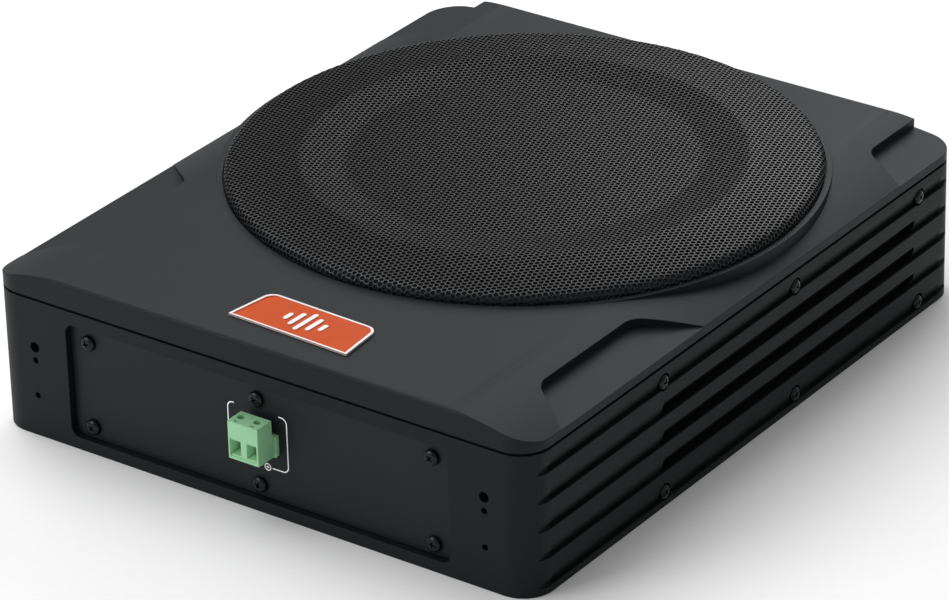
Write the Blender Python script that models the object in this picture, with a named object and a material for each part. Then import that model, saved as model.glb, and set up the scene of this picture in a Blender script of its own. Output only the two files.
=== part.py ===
"""Slim powered car subwoofer: ribbed case, crowned lid with a round grille, driver and amplifier.

Metres, +Z up. The origin is the centre of the rectangle that the case stands on. The driver's
terminal plug faces -Y, the guessed control panel faces +Y.
"""

import math

import bmesh
import bpy
from mathutils import Matrix, Vector

# Outer case
WIDTH = 0.254
LENGTH = 0.300
CORNER_RADIUS = 0.013
CASE_TOP = 0.0595
SIDE_WALL = 0.0045
END_WALL = 0.003
PANEL_WALL = 0.0076
GAP = 0.0003

# Ribbed long sides
RIB_PITCH = 0.0119
FIRST_RIB = 0.0026
RIBS = 5
GROOVE_DEPTH = 0.0019
SLOT_LOW_Y = -0.0637
SLOT_HIGH_Y = 0.1165
SLOT_HEIGHT = 0.006
SIDE_SCREWS_Y = (-0.063, 0.0285, 0.120)
SIDE_SCREWS_Z = (0.006, 0.053)

# Recessed end panels
RECESS_HALF_WIDTH = 0.090
RECESS_LOW = 0.005
RECESS_HIGH = 0.054
RECESS_DEPTH = 0.003
PANEL_THICKNESS = 0.002
END_SCREWS_X = (-0.081, 0.0, 0.081)
END_SCREWS_Z = (0.0102, 0.0468)
BRACKET_HOLES_X = 0.106
BRACKET_HOLES = ((0.0389, 0.0022), (0.0332, 0.00135), (0.0178, 0.00135))

# Lid
LID_BOTTOM = 0.0607
LID_TOP = 0.0714
FLAT_HALF_WIDTH = 0.088
CROWN_RADIUS = 0.110
LAND_X = 0.106
LAND_DROP = 0.0036
PEDESTAL_RADIUS = 0.1218
BADGE_TURN = math.radians(-2.2)

# Driver and grille share one axis
DRIVER_Y = 0.028
GRILLE_RADIUS = 0.1189
GRILLE_THICKNESS = 0.0012
FLANGE_RADIUS = 0.105
FLANGE_BOTTOM = 0.0633
CONE_RADIUS = 0.080

# Long case screws in the four corner bosses
BOSS_X = 0.1165
BOSS_Y = 0.1405


def clear_scene():
    for old in list(bpy.data.objects):
        bpy.data.objects.remove(old, do_unlink=True)


def make_material(name, colour, roughness, metallic=0.0):
    material = bpy.data.materials.new(name)
    material.use_nodes = True
    shader = material.node_tree.nodes["Principled BSDF"]
    shader.inputs["Base Color"].default_value = (*colour, 1.0)
    shader.inputs["Roughness"].default_value = roughness
    shader.inputs["Metallic"].default_value = metallic
    return material


def finish_object(name, mesh_builder, material, smooth=None):
    """Turns a bmesh into a named object with its normals out."""
    bmesh.ops.recalc_face_normals(mesh_builder, faces=mesh_builder.faces)
    mesh = bpy.data.meshes.new(name)
    mesh_builder.to_mesh(mesh)
    mesh_builder.free()
    if smooth:
        mesh.shade_smooth()
        mesh.set_sharp_from_angle(angle=math.radians(smooth))
    obj = bpy.data.objects.new(name, mesh)
    bpy.context.scene.collection.objects.link(obj)
    if material:
        mesh.materials.append(material)
    return obj


def place(obj, location, turn=None):
    """Moves an object, and turns its +Z to point along another axis."""
    obj.location = location
    if turn:
        obj.rotation_euler = Vector((0, 0, 1)).rotation_difference(Vector(turn)).to_euler()
    return obj


def prism(outline, low, high, axis="Z"):
    """Extrudes a closed outline. Along Y the outline is (x, z), along X it is (y, z)."""
    to_space = {
        "X": lambda a, b, c: (c, a, b),
        "Y": lambda a, b, c: (a, c, b),
        "Z": lambda a, b, c: (a, b, c),
    }[axis]
    builder = bmesh.new()
    face = builder.faces.new([builder.verts.new(to_space(a, b, low)) for a, b in outline])
    extruded = bmesh.ops.extrude_face_region(builder, geom=[face])
    moved = [item for item in extruded["geom"] if isinstance(item, bmesh.types.BMVert)]
    bmesh.ops.translate(builder, verts=moved, vec=to_space(0, 0, high - low))
    return builder


def box(low, high):
    """A box between two corners."""
    outline = [(low[0], low[1]), (high[0], low[1]), (high[0], high[1]), (low[0], high[1])]
    return prism(outline, low[2], high[2])


def rounded_rectangle(half_width, half_length, radius, steps=6, centre=(0.0, 0.0)):
    points = []
    for corner in range(4):
        across = (1, -1, -1, 1)[corner] * (half_width - radius) + centre[0]
        along = (1, 1, -1, -1)[corner] * (half_length - radius) + centre[1]
        for step in range(steps + 1):
            angle = math.pi / 2 * (corner + step / steps)
            points.append((across + radius * math.cos(angle), along + radius * math.sin(angle)))
    return points


def circle(radius, steps, centre=(0.0, 0.0)):
    angles = [2 * math.pi * step / steps for step in range(steps)]
    return [(centre[0] + radius * math.cos(a), centre[1] + radius * math.sin(a)) for a in angles]


def turned(profile, steps=32, centre=(0.0, 0.0, 0.0)):
    """Spins a closed (radius, height) profile round Z. Points on the axis become one vertex."""
    builder = bmesh.new()
    vertices = [builder.verts.new((radius, 0, height)) for radius, height in profile]
    on_axis = [radius < 1e-7 for radius, _ in profile]
    for index in range(len(profile)):
        following = (index + 1) % len(profile)
        if not (on_axis[index] and on_axis[following]):
            builder.edges.new((vertices[index], vertices[following]))
    bmesh.ops.spin(
        builder,
        geom=builder.verts[:] + builder.edges[:],
        axis=(0, 0, 1),
        cent=(0, 0, 0),
        steps=steps,
        angle=2 * math.pi,
        use_merge=True,
    )
    bmesh.ops.remove_doubles(builder, verts=builder.verts, dist=1e-6)
    bmesh.ops.translate(builder, verts=builder.verts, vec=centre)
    return builder


def rod(radius, low, high, steps=12, centre=(0.0, 0.0)):
    """A plain cylinder along Z."""
    return prism(circle(radius, steps, centre), low, high)


def merge(builders):
    """Puts several closed shapes in one cutter."""
    joined = bmesh.new()
    for builder in builders:
        mesh = bpy.data.meshes.new("piece")
        bmesh.ops.recalc_face_normals(builder, faces=builder.faces)
        builder.to_mesh(mesh)
        builder.free()
        joined.from_mesh(mesh)
        bpy.data.meshes.remove(mesh)
    return joined


def change(obj, operation, builders, label):
    """Adds a Boolean that uses hidden helper shapes."""
    helper = finish_object(f"{obj.name}_{label}", merge(builders), None)
    helper.hide_render = True
    helper.display_type = "WIRE"
    modifier = obj.modifiers.new(label, "BOOLEAN")
    modifier.operation = operation
    modifier.object = helper
    modifier.solver = "EXACT"


def along_y(builder, centre_x, centre_z, offset_y=0.0):
    """Turns a shape made along Z so that it runs along +Y through a point."""
    turn = Matrix.Rotation(math.radians(-90), 4, "X")
    bmesh.ops.transform(builder, matrix=turn, verts=builder.verts)
    bmesh.ops.translate(builder, verts=builder.verts, vec=(centre_x, offset_y, centre_z))
    return builder


def along_x(builder, centre_y, centre_z):
    """Turns a shape made along Z so that it runs along +X through a point."""
    turn = Matrix.Rotation(math.radians(90), 4, "Y")
    bmesh.ops.transform(builder, matrix=turn, verts=builder.verts)
    bmesh.ops.translate(builder, verts=builder.verts, vec=(0, centre_y, centre_z))
    return builder


def groove_outline(side, low):
    """One groove across a long side: a ledge at its foot and a long slope up to the next rib."""
    surface = WIDTH / 2
    steps = (
        (-0.001, -0.0003),
        (0.0, 0.0),
        (GROOVE_DEPTH, 0.0005),
        (GROOVE_DEPTH, 0.0010),
        (GROOVE_DEPTH * 0.60, 0.0020),
        (GROOVE_DEPTH * 0.32, 0.0032),
        (GROOVE_DEPTH * 0.12, 0.0047),
        (0.0, 0.0063),
        (-0.001, 0.0069),
    )
    return [(side * (surface - depth), low + height) for depth, height in steps]


def make_lower_case(material):
    outer = rounded_rectangle(WIDTH / 2, LENGTH / 2, CORNER_RADIUS)
    case = finish_object("lower_case", prism(outer, 0.0, CASE_TOP), material)
    inner = rounded_rectangle(WIDTH / 2 - SIDE_WALL, LENGTH / 2 - END_WALL, 0.008)
    change(case, "DIFFERENCE", [prism(inner, -0.01, CASE_TOP + 0.01)], "cavity")

    foot = 0.0027
    panel_half = RECESS_HALF_WIDTH + 0.007
    ledges = []
    bosses = []
    for side in (-1, 1):
        inner_face = side * (LENGTH / 2 - PANEL_WALL)
        outer_face = side * (LENGTH / 2 - 0.001)
        ledges.append(
            box(
                (-panel_half, min(inner_face, outer_face), foot),
                (panel_half, max(inner_face, outer_face), CASE_TOP - 0.002),
            )
        )
        for across in (-1, 1):
            bosses.append(rod(0.006, foot, 0.058, 12, (across * BOSS_X, side * BOSS_Y)))
    change(case, "UNION", ledges, "ledges")
    change(case, "UNION", bosses, "bosses")

    grooves = []
    slots = []
    for side in (-1, 1):
        for rib in range(RIBS):
            low = FIRST_RIB + rib * RIB_PITCH
            grooves.append(prism(groove_outline(side, low), -LENGTH, LENGTH, "Y"))
            if 0 < rib < RIBS - 1:
                wall = sorted((side * (WIDTH / 2 + 0.001), side * (WIDTH / 2 - 0.006)))
                slots.append(
                    box(
                        (wall[0], SLOT_LOW_Y, low + 0.0001),
                        (wall[1], SLOT_HIGH_Y, low + SLOT_HEIGHT),
                    )
                )
    change(case, "DIFFERENCE", grooves, "grooves")
    change(case, "DIFFERENCE", slots, "slots")

    recesses = []
    windows = []
    holes = []
    half_height = (RECESS_HIGH - RECESS_LOW) / 2
    middle = (RECESS_HIGH + RECESS_LOW) / 2
    recess = rounded_rectangle(RECESS_HALF_WIDTH, half_height, 0.004, 3, (0.0, middle))
    window = rounded_rectangle(0.074, 0.0145, 0.003, 2, (0.0, middle))
    for side in (-1, 1):
        face = LENGTH / 2
        floor = face - RECESS_DEPTH - PANEL_THICKNESS - GAP
        recesses.append(prism(recess, *sorted((side * floor, side * (face + 0.001))), "Y"))
        windows.append(prism(window, *sorted((side * (floor - 0.02), side * face)), "Y"))
        for x in END_SCREWS_X:
            for z in END_SCREWS_Z:
                holes.append(along_y(rod(0.0018, -0.0085, 0.0085, 8), x, z, side * 0.143))
        for x in (-BRACKET_HOLES_X, BRACKET_HOLES_X):
            for z, radius in BRACKET_HOLES:
                holes.append(along_y(rod(radius, -0.006, 0.006, 10), x, z, side * 0.148))
        for y in SIDE_SCREWS_Y:
            for z in SIDE_SCREWS_Z:
                hole = rod(0.0018, 0.118, 0.128, 8)
                seat = rod(0.0037, WIDTH / 2 - 0.0014, WIDTH / 2 + 0.001, 16)
                for shape in (hole, seat):
                    if side < 0:
                        bmesh.ops.rotate(
                            shape, verts=shape.verts, matrix=Matrix.Rotation(math.pi, 3, "X")
                        )
                    along_x(shape, y, z)
                holes.append(hole)
                recesses.append(seat)
        for across in (-1, 1):
            holes.append(rod(0.0022, -0.01, 0.07, 10, (across * BOSS_X, side * BOSS_Y)))
    change(case, "DIFFERENCE", recesses, "recesses")
    change(case, "DIFFERENCE", windows, "windows")
    change(case, "DIFFERENCE", holes, "holes")
    return case


def make_base_plate(material):
    half_width = WIDTH / 2 - SIDE_WALL - GAP
    half_length = LENGTH / 2 - END_WALL - GAP
    outline = rounded_rectangle(half_width, half_length, 0.0077)
    plate = finish_object("base_plate", prism(outline, 0.0, 0.0022), material)
    sinks = []
    for across in (-1, 1):
        for along in (-1, 1):
            profile = [
                (0, -0.001),
                (0.0052, -0.001),
                (0.0042, 0.0001),
                (0.0022, 0.0020),
                (0.0022, 0.004),
                (0, 0.004),
            ]
            sinks.append(turned(profile, 12, (across * BOSS_X, along * BOSS_Y, 0)))
    change(plate, "DIFFERENCE", sinks, "countersinks")
    return plate


def make_case_screws(material):
    profile = [(0, 0.0003), (0.0037, 0.0003), (0.0018, 0.0022), (0.0018, 0.0625), (0, 0.0625)]
    number = 0
    for across in (-1, 1):
        for along in (-1, 1):
            number += 1
            screw = finish_object(f"case_screw_{number}", turned(profile, 10), material, 40)
            place(screw, (across * BOSS_X, along * BOSS_Y, 0))


def crown_height(x):
    """Height of the lid's outer surface at a distance from its middle line."""
    beyond = max(abs(x) - FLAT_HALF_WIDTH, 0.0)
    return LID_TOP - CROWN_RADIUS + math.sqrt(CROWN_RADIUS**2 - beyond**2)


def land_height(x):
    """The lowered corner lands fall gently outwards and meet the crown at the lid's edge."""
    inner = crown_height(LAND_X) - LAND_DROP
    outer = crown_height(WIDTH / 2) - 0.0002
    share = (abs(x) - LAND_X) / (WIDTH / 2 - LAND_X)
    return inner + (outer - inner) * share


def stacked_plans(half_width, half_length, radius, levels):
    """A block whose outline is drawn in by a given amount at each height."""
    builder = bmesh.new()
    rows = []
    for height, inset in levels:
        outline = rounded_rectangle(half_width - inset, half_length - inset, radius - inset)
        rows.append([builder.verts.new((x, y, height)) for x, y in outline])
    builder.faces.new(rows[0])
    builder.faces.new(rows[-1])
    for lower, upper in zip(rows, rows[1:]):
        for index in range(len(lower)):
            following = (index + 1) % len(lower)
            builder.faces.new((lower[index], lower[following], upper[following], upper[index]))
    return builder


def make_lid(material):
    half = WIDTH / 2
    crown_steps = 7
    right = [(half + 0.001, LID_BOTTOM), (half + 0.001, crown_height(half))]
    for step in range(crown_steps + 1):
        x = half - (half - FLAT_HALF_WIDTH) * step / crown_steps
        right.append((x, crown_height(x)))
    outline = right + [(-x, z) for x, z in reversed(right)]
    lid = finish_object("lid", prism(outline, -LENGTH / 2 - 0.001, LENGTH / 2 + 0.001, "Y"), material)

    pedestal = circle(PEDESTAL_RADIUS, 72, (0.0, DRIVER_Y))
    change(lid, "UNION", [prism(pedestal, 0.0625, LID_TOP)], "pedestal")

    edge_levels = (
        (0.0550, 0.0),
        (0.0696, 0.0),
        (0.0703, 0.0002),
        (0.0709, 0.0006),
        (0.0713, 0.0013),
        (0.0715, 0.0022),
        (0.0750, 0.0022),
    )
    change(lid, "INTERSECT", [stacked_plans(half, LENGTH / 2, CORNER_RADIUS, edge_levels)], "plan")

    # The front pair of lands, and a shorter pair behind the driver.
    lands = []
    for side in (-1, 1):
        for mirror in (-1, 1):
            lands.append(land_cutter(side, mirror))
    change(lid, "DIFFERENCE", lands, "lands")

    edge = half - 0.0042
    inner = [
        (edge, 0.05),
        (edge, 0.0612),
        (0.086, 0.0682),
        (-0.086, 0.0682),
        (-edge, 0.0612),
        (-edge, 0.05),
    ]
    change(lid, "DIFFERENCE", [prism(inner, -LENGTH / 2 + 0.0035, LENGTH / 2 - 0.0035, "Y")], "hollow")

    ring = prism(circle(0.112, 48, (0.0, DRIVER_Y)), 0.060, 0.0700)
    change(lid, "UNION", [ring], "mount_ring")
    bosses = []
    bores = []
    for across in (-1, 1):
        for along in (-1, 1):
            centre = (across * BOSS_X, along * BOSS_Y)
            bosses.append(rod(0.0045, 0.0583, 0.0640, 12, centre))
            bores.append(rod(0.0021, 0.05, 0.0632, 10, centre))
    change(lid, "UNION", bosses, "bosses")

    seat_profile = [(0.1173, 0.070), (0.1192, 0.070), (0.1192, 0.075), (0.1173, 0.075)]
    seat = turned(seat_profile, 64, (0, DRIVER_Y, 0))
    recess = prism(circle(0.106, 48, (0.0, DRIVER_Y)), FLANGE_BOTTOM - GAP, 0.08)
    mouth = prism(circle(0.098, 48, (0.0, DRIVER_Y)), 0.05, 0.08)
    change(lid, "DIFFERENCE", [seat], "grille_seat")
    change(lid, "DIFFERENCE", [recess], "flange_recess")
    change(lid, "DIFFERENCE", [mouth], "mouth")
    change(lid, "DIFFERENCE", bores, "bores")
    return lid


def land_cutter(side, mirror):
    """A wedge over one land. Its plan is a trapezoid that opens towards the lid's edge."""
    half = WIDTH / 2 + 0.002
    near, far = (0.087, 0.142) if mirror > 0 else (0.082, 0.142)
    spread_near, spread_far = (0.0755, 0.160) if mirror > 0 else (0.062, 0.160)
    corners = [
        (LAND_X, near),
        (LAND_X + 0.002, near - 0.0022),
        (half, spread_near),
        (half, spread_far),
        (LAND_X + 0.002, far + 0.0022),
        (LAND_X, far),
    ]
    builder = bmesh.new()
    low = []
    high = []
    for x, along in corners:
        y = DRIVER_Y + mirror * along
        low.append(builder.verts.new((side * x, y, land_height(x))))
        high.append(builder.verts.new((side * x, y, 0.08)))
    builder.faces.new(low)
    builder.faces.new(high)
    for index in range(len(corners)):
        following = (index + 1) % len(corners)
        builder.faces.new((low[index], low[following], high[following], high[index]))
    return builder


def make_lid_seal(material):
    outer = rounded_rectangle(WIDTH / 2 - 0.0008, LENGTH / 2 - 0.0008, CORNER_RADIUS - 0.0008)
    inner = rounded_rectangle(WIDTH / 2 - 0.0022, LENGTH / 2 - 0.0022, CORNER_RADIUS - 0.0022)
    seal = finish_object("lid_seal", prism(outer, CASE_TOP + GAP, LID_BOTTOM - GAP), material)
    change(seal, "DIFFERENCE", [prism(inner, 0.05, 0.07)], "inside")
    return seal


def make_grille(material):
    """A pressed dome: upright skirt, falling outer ring, shallow dish and flat middle."""
    outside = [
        (0.1189, 0.0703),
        (0.1189, 0.0727),
        (0.1184, 0.0740),
        (0.1172, 0.0749),
        (0.1155, 0.0753),
        (0.103, 0.0766),
        (0.0905, 0.0775),
        (0.0885, 0.0775),
        (0.0720, 0.0760),
        (0.0700, 0.0759),
        (0.0, 0.0759),
    ]
    inside = [(radius - 0.0004, height - GRILLE_THICKNESS) for radius, height in outside[4:-1]]
    skirt = [(0.1177, 0.0703), (0.1177, 0.0722), (0.1172, 0.0731), (0.1163, 0.0737)]
    profile = outside + [(0.0, outside[-1][1] - GRILLE_THICKNESS)] + inside[::-1] + skirt[::-1]
    return place(finish_object("grille", turned(profile, 48), material, 35), (0, DRIVER_Y, 0))


def make_badge(material):
    """A flat plate with slightly drawn-in ends and rounded rear corners."""
    front, rear = -0.1375, -0.1151
    left, right = -0.0201, 0.0369
    corner = 0.004
    outline = [(left, front), (right, front)]
    for centre_x, first in ((right - 0.0025 - corner, 0), (left + 0.0015 + corner, 90)):
        for step in range(5):
            angle = math.radians(first + 90 * step / 4)
            outline.append((centre_x + corner * math.cos(angle), rear - corner + corner * math.sin(angle)))
    plate = prism(outline, LID_TOP + GAP, LID_TOP + 0.0012)
    middle = ((left + right) / 2, (front + rear) / 2, 0)
    turn = Matrix.Rotation(BADGE_TURN, 3, "Z")
    bmesh.ops.rotate(plate, verts=plate.verts, cent=middle, matrix=turn)
    return finish_object("badge", plate, material)


def make_vent_screens(material):
    """Plates on the inside of the slotted walls, held by the side screws."""
    for name, side in (("vent_screen_left", -1), ("vent_screen_right", 1)):
        inner_face = WIDTH / 2 - SIDE_WALL - GAP
        outline = rounded_rectangle(0.100, 0.027, 0.004, 2, (0.0285, 0.0300))
        low, high = sorted((side * (inner_face - 0.0012), side * inner_face))
        screen = finish_object(name, prism(outline, low, high, "X"), material)
        holes = []
        for y in SIDE_SCREWS_Y:
            for z in SIDE_SCREWS_Z:
                hole = rod(0.0018, -0.01, 0.01, 8)
                holes.append(along_x(hole, y, z))
        for hole in holes:
            bmesh.ops.translate(hole, verts=hole.verts, vec=(side * inner_face, 0, 0))
        change(screen, "DIFFERENCE", holes, "holes")


def make_screw(name, material, length, head=0.0033):
    """A pan-head screw that points down -Z, with a cross recess in its head."""
    profile = [
        (0, -length),
        (0.0015, -length),
        (0.0015, 0.0),
        (head, 0.0),
        (head, 0.0008),
        (head - 0.0007, 0.0015),
        (head - 0.0019, 0.0018),
        (0, 0.0018),
    ]
    screw = finish_object(name, turned(profile, 12), material, 40)
    arms = [
        box((-0.0019, -0.00032, 0.0009), (0.0019, 0.00032, 0.003)),
        box((-0.00032, -0.0019, 0.0009), (0.00032, 0.0019, 0.003)),
    ]
    for number, arm in enumerate(arms):
        change(screw, "DIFFERENCE", [arm], f"slot_{number}")
    return screw


def make_visible_screws(material):
    number = 0
    for x in END_SCREWS_X:
        for z in END_SCREWS_Z:
            number += 1
            screw = make_screw(f"front_screw_{number}", material, 0.0065)
            face = -(LENGTH / 2 - RECESS_DEPTH + GAP)
            place_with_helpers(screw, (x, face, z), (0, -1, 0))
    number = 0
    for y in SIDE_SCREWS_Y:
        for z in SIDE_SCREWS_Z:
            number += 1
            screw = make_screw(f"side_screw_{number}", material, 0.0072, 0.0029)
            face = WIDTH / 2 - 0.0014 + GAP
            place_with_helpers(screw, (face, y, z), (1, 0, 0))


def place_with_helpers(obj, location, turn):
    """Places an object together with the hidden shapes that cut it."""
    place(obj, location, turn)
    for modifier in obj.modifiers:
        place(modifier.object, location, turn)


def make_panel(name, side, material, openings):
    half_height = (RECESS_HIGH - RECESS_LOW) / 2
    middle = (RECESS_HIGH + RECESS_LOW) / 2
    outline = rounded_rectangle(
        RECESS_HALF_WIDTH - GAP, half_height - GAP, 0.004 - GAP, 3, (0.0, middle)
    )
    face = LENGTH / 2 - RECESS_DEPTH
    low, high = sorted((side * face, side * (face - PANEL_THICKNESS)))
    panel = finish_object(name, prism(outline, low, high, "Y"), material)
    holes = []
    for x in END_SCREWS_X:
        for z in END_SCREWS_Z:
            holes.append(along_y(rod(0.0018, -0.01, 0.01, 8), x, z, side * face))
    change(panel, "DIFFERENCE", holes, "screw_holes")
    change(panel, "DIFFERENCE", openings, "openings")
    return panel


def through_panel(side, centre_x, centre_z, half_width, half_height):
    face = side * LENGTH / 2
    low, high = sorted((face, face - side * 0.012))
    outline = [
        (centre_x - half_width, centre_z - half_height),
        (centre_x + half_width, centre_z - half_height),
        (centre_x + half_width, centre_z + half_height),
        (centre_x - half_width, centre_z + half_height),
    ]
    return prism(outline, low, high, "Y")


# Speaker terminal: a socket behind the panel and the plug in it
POLE_PITCH = 0.00762
PLUG_X = 0.0015
PLUG_HALF_WIDTH = 0.0071
PLUG_LOW, PLUG_HIGH = 0.0253, 0.0411
PLUG_FRONT, PLUG_BACK = -0.1585, -0.1489
SOCKET_FRONT, SOCKET_BACK = -0.1486, -0.1379


def make_terminal(green, board_material):
    left, right = PLUG_X - PLUG_HALF_WIDTH, PLUG_X + PLUG_HALF_WIDTH
    socket = finish_object(
        "terminal_header",
        box((left - 0.0007, SOCKET_FRONT, 0.0248), (right + 0.0007, SOCKET_BACK, 0.0338)),
        green,
    )
    mouth_low = (left + 0.0004, SOCKET_FRONT - 0.001, 0.0259)
    mouth_high = (right - 0.0004, SOCKET_BACK - 0.0015, 0.0327)
    change(socket, "DIFFERENCE", [box(mouth_low, mouth_high)], "mouth")

    body = box((left, PLUG_FRONT, PLUG_LOW), (right, PLUG_BACK, PLUG_HIGH))
    plug = finish_object("terminal_plug", body, green)
    tongue = box((left + 0.0008, PLUG_BACK - 0.001, 0.0263), (right - 0.0008, -0.1402, 0.0323))
    change(plug, "UNION", [tongue], "tongue")
    wire_holes = []
    screw_holes = []
    for side in (-0.5, 0.5):
        x = PLUG_X + side * POLE_PITCH
        low = (x - 0.0019, PLUG_FRONT - 0.001, 0.0272)
        wire_holes.append(box(low, (x + 0.0019, PLUG_FRONT + 0.0040, 0.0334)))
        screw_holes.append(rod(0.0013, PLUG_HIGH - 0.0025, PLUG_HIGH + 0.001, 10, (x, -0.1534)))
    change(plug, "DIFFERENCE", wire_holes, "wire_holes")
    change(plug, "DIFFERENCE", screw_holes, "screw_holes")

    finish_object("input_board", box((-0.016, -0.1376, 0.016), (0.019, -0.136, 0.0425)), board_material)


def make_driver(materials):
    centre = (0, DRIVER_Y, 0)
    top = FLANGE_BOTTOM + 0.002
    basket_profile = [
        (0.022, 0.0278),
        (0.0532, 0.0278),
        (0.0532, 0.0352),
        (0.061, 0.0354),
        (0.0895, 0.0620),
        (0.0905, FLANGE_BOTTOM),
        (FLANGE_RADIUS, FLANGE_BOTTOM),
        (FLANGE_RADIUS, top),
        (0.0885, top),
        (0.087, 0.0626),
        (0.060, 0.0376),
        (0.051, 0.0376),
        (0.051, 0.0300),
        (0.022, 0.0300),
    ]
    basket = place(finish_object("driver_basket", turned(basket_profile, 36), materials["basket"]), centre)
    windows = []
    for leg in range(8):
        window = box((0.055, -0.014, 0.0400), (0.100, 0.014, 0.0585))
        turn = Matrix.Rotation(math.radians(45 * leg + 22.5), 3, "Z")
        bmesh.ops.rotate(window, verts=window.verts, matrix=turn)
        bmesh.ops.translate(window, verts=window.verts, vec=centre)
        windows.append(window)
    change(basket, "DIFFERENCE", windows, "windows")

    def ring(name, inner, outer, low, high, material, steps=36):
        profile = [(inner, low), (outer, low), (outer, high), (inner, high)]
        return place(finish_object(name, turned(profile, steps), material, 40), centre)

    ring("driver_gasket", 0.0978, FLANGE_RADIUS, top + GAP, top + 0.0015, materials["rubber"])
    ring("top_plate", 0.0206, 0.046, 0.0225, 0.0275, materials["steel"])
    ring("magnet", 0.026, 0.050, 0.0113, 0.0222, materials["ferrite"])
    ring("voice_coil_former", 0.0183, 0.0187, 0.0175, 0.0450, materials["former"], 24)
    ring("voice_coil", 0.0190, 0.0199, 0.0185, 0.0315, materials["copper"], 24)

    yoke = [
        (0.005, 0.006),
        (0.048, 0.006),
        (0.048, 0.011),
        (0.0179, 0.011),
        (0.0179, 0.0275),
        (0.005, 0.0275),
    ]
    place(finish_object("back_plate", turned(yoke, 36), materials["steel"], 40), centre)

    cone = [(0.0190, 0.0430), (CONE_RADIUS, 0.0620), (CONE_RADIUS, 0.0632), (0.0190, 0.0444)]
    place(finish_object("cone", turned(cone, 36), materials["cone"], 40), centre)

    cap = []
    for layer, thickness in ((0, 0.001), (1, 0.0)):
        rows = []
        for step in range(6):
            share = step / 5
            rows.append((0.027 * (1 - share), 0.0473 + thickness + 0.0055 * (1 - (1 - share) ** 2)))
        cap += rows if layer == 0 else rows[::-1]
    place(finish_object("dust_cap", turned(cap, 24), materials["cone"], 40), centre)

    place(finish_object("surround", turned(surround_profile(), 36), materials["rubber"], 60), centre)
    place(finish_object("spider", turned(spider_profile(), 24), materials["spider"], 60), centre)


def surround_profile():
    """A half roll of rubber between the cone's rim and the basket's flange."""
    thickness = 0.0008
    middle, height, radius = 0.0870, 0.0646, 0.0060
    upper = [(0.0785, 0.0643), (0.0806, 0.0643)]
    lower = [(0.0785, 0.0635), (0.0812, 0.0635)]
    for step in range(1, 6):
        angle = math.pi - math.pi * step / 6
        upper.append((middle + radius * math.cos(angle), height + radius * math.sin(angle) + 0.0006))
        inner = radius - thickness
        lower.append((middle + inner * math.cos(angle), height + inner * math.sin(angle) + 0.0006))
    upper += [(0.0933, 0.0664), (0.0974, 0.0664)]
    lower += [(0.0927, 0.0656), (0.0974, 0.0656)]
    return upper + lower[::-1]


def spider_profile():
    """A cupped, corrugated cloth ring that centres the coil: its inner edge stands higher."""
    inner, outer = 0.0190, 0.0585
    drop, waves = 0.0038, 4
    steps = waves * 4
    low = []
    high = []
    for step in range(steps + 1):
        share = step / steps
        radius = inner + (outer - inner) * share
        flat = step in (0, steps)
        wave = 0.0 if flat else 0.0007 * math.sin(2 * math.pi * step / 4)
        low.append((radius, 0.0382 + drop * (1 - share) + wave))
        high.append((radius, 0.0387 + drop * (1 - share) + wave))
    return low + high[::-1]


def make_partition(material):
    """The wall between the driver's air space and the amplifier bay."""
    edge = WIDTH / 2 - SIDE_WALL - GAP
    outline = [
        (-edge, 0.0027),
        (edge, 0.0027),
        (edge, 0.0608),
        (0.086, 0.0679),
        (-0.086, 0.0679),
        (-edge, 0.0608),
    ]
    finish_object("chamber_partition", prism(outline, -0.0890, -0.0870, "Y"), material)


def make_amplifier(materials):
    finish_object("amp_board", box((-0.095, -0.1345, 0.0090), (0.095, -0.0995, 0.0106)), materials["board"])
    bar = box((-0.070, -0.0985, 0.0027), (0.070, -0.0925, 0.0280))
    finish_object("heatsink_bar", bar, materials["aluminium"])
    for number, x in enumerate((-0.030, 0.030), 1):
        package = box((x - 0.008, -0.1038, 0.0110), (x + 0.008, -0.0988, 0.0280))
        finish_object(f"power_transistor_{number}", package, materials["plastic"])
    for number, x in enumerate((-0.074, -0.052), 1):
        profile = [
            (0, 0),
            (0.0088, 0),
            (0.0090, 0.0030),
            (0.0086, 0.0036),
            (0.0090, 0.0042),
            (0.0090, 0.0290),
            (0, 0.0290),
        ]
        can = finish_object(f"capacitor_{number}", turned(profile, 20), materials["sleeve"], 40)
        place(can, (x, -0.117, 0.0109))
    profile = [
        (0.009, 0.0),
        (0.015, 0.0),
        (0.018, 0.003),
        (0.018, 0.010),
        (0.015, 0.013),
        (0.009, 0.013),
        (0.0075, 0.010),
        (0.0075, 0.003),
    ]
    choke = finish_object("choke_coil", turned(profile, 24), materials["copper"], 60)
    place(choke, (0.066, -0.1165, 0.0109))


REAR_FACE = LENGTH / 2 - RECESS_DEPTH
POWER_TERMINAL_X = 0.054
FUSE_X = 0.024
JACK_X = -0.014
GAIN_X = -0.034
LOWPASS_X = -0.052
PHASE_X = -0.068
LED_X = -0.068
CONTROL_Z = 0.029


def rear_openings():
    openings = [
        through_panel(1, POWER_TERMINAL_X, CONTROL_Z, 0.0165, 0.0080),
        through_panel(1, FUSE_X, CONTROL_Z, 0.0085, 0.0055),
        through_panel(1, PHASE_X, CONTROL_Z - 0.004, 0.0050, 0.0027),
    ]
    for offset in (-0.0075, 0.0075):
        hole = rod(0.0042, -0.006, 0.006, 16)
        openings.append(along_y(hole, JACK_X, CONTROL_Z + offset, REAR_FACE))
    for x in (GAIN_X, LOWPASS_X):
        openings.append(along_y(rod(0.0037, -0.006, 0.006, 12), x, CONTROL_Z, REAR_FACE))
    openings.append(along_y(rod(0.0018, -0.006, 0.006, 10), LED_X, CONTROL_Z + 0.009, REAR_FACE))
    return openings


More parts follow.
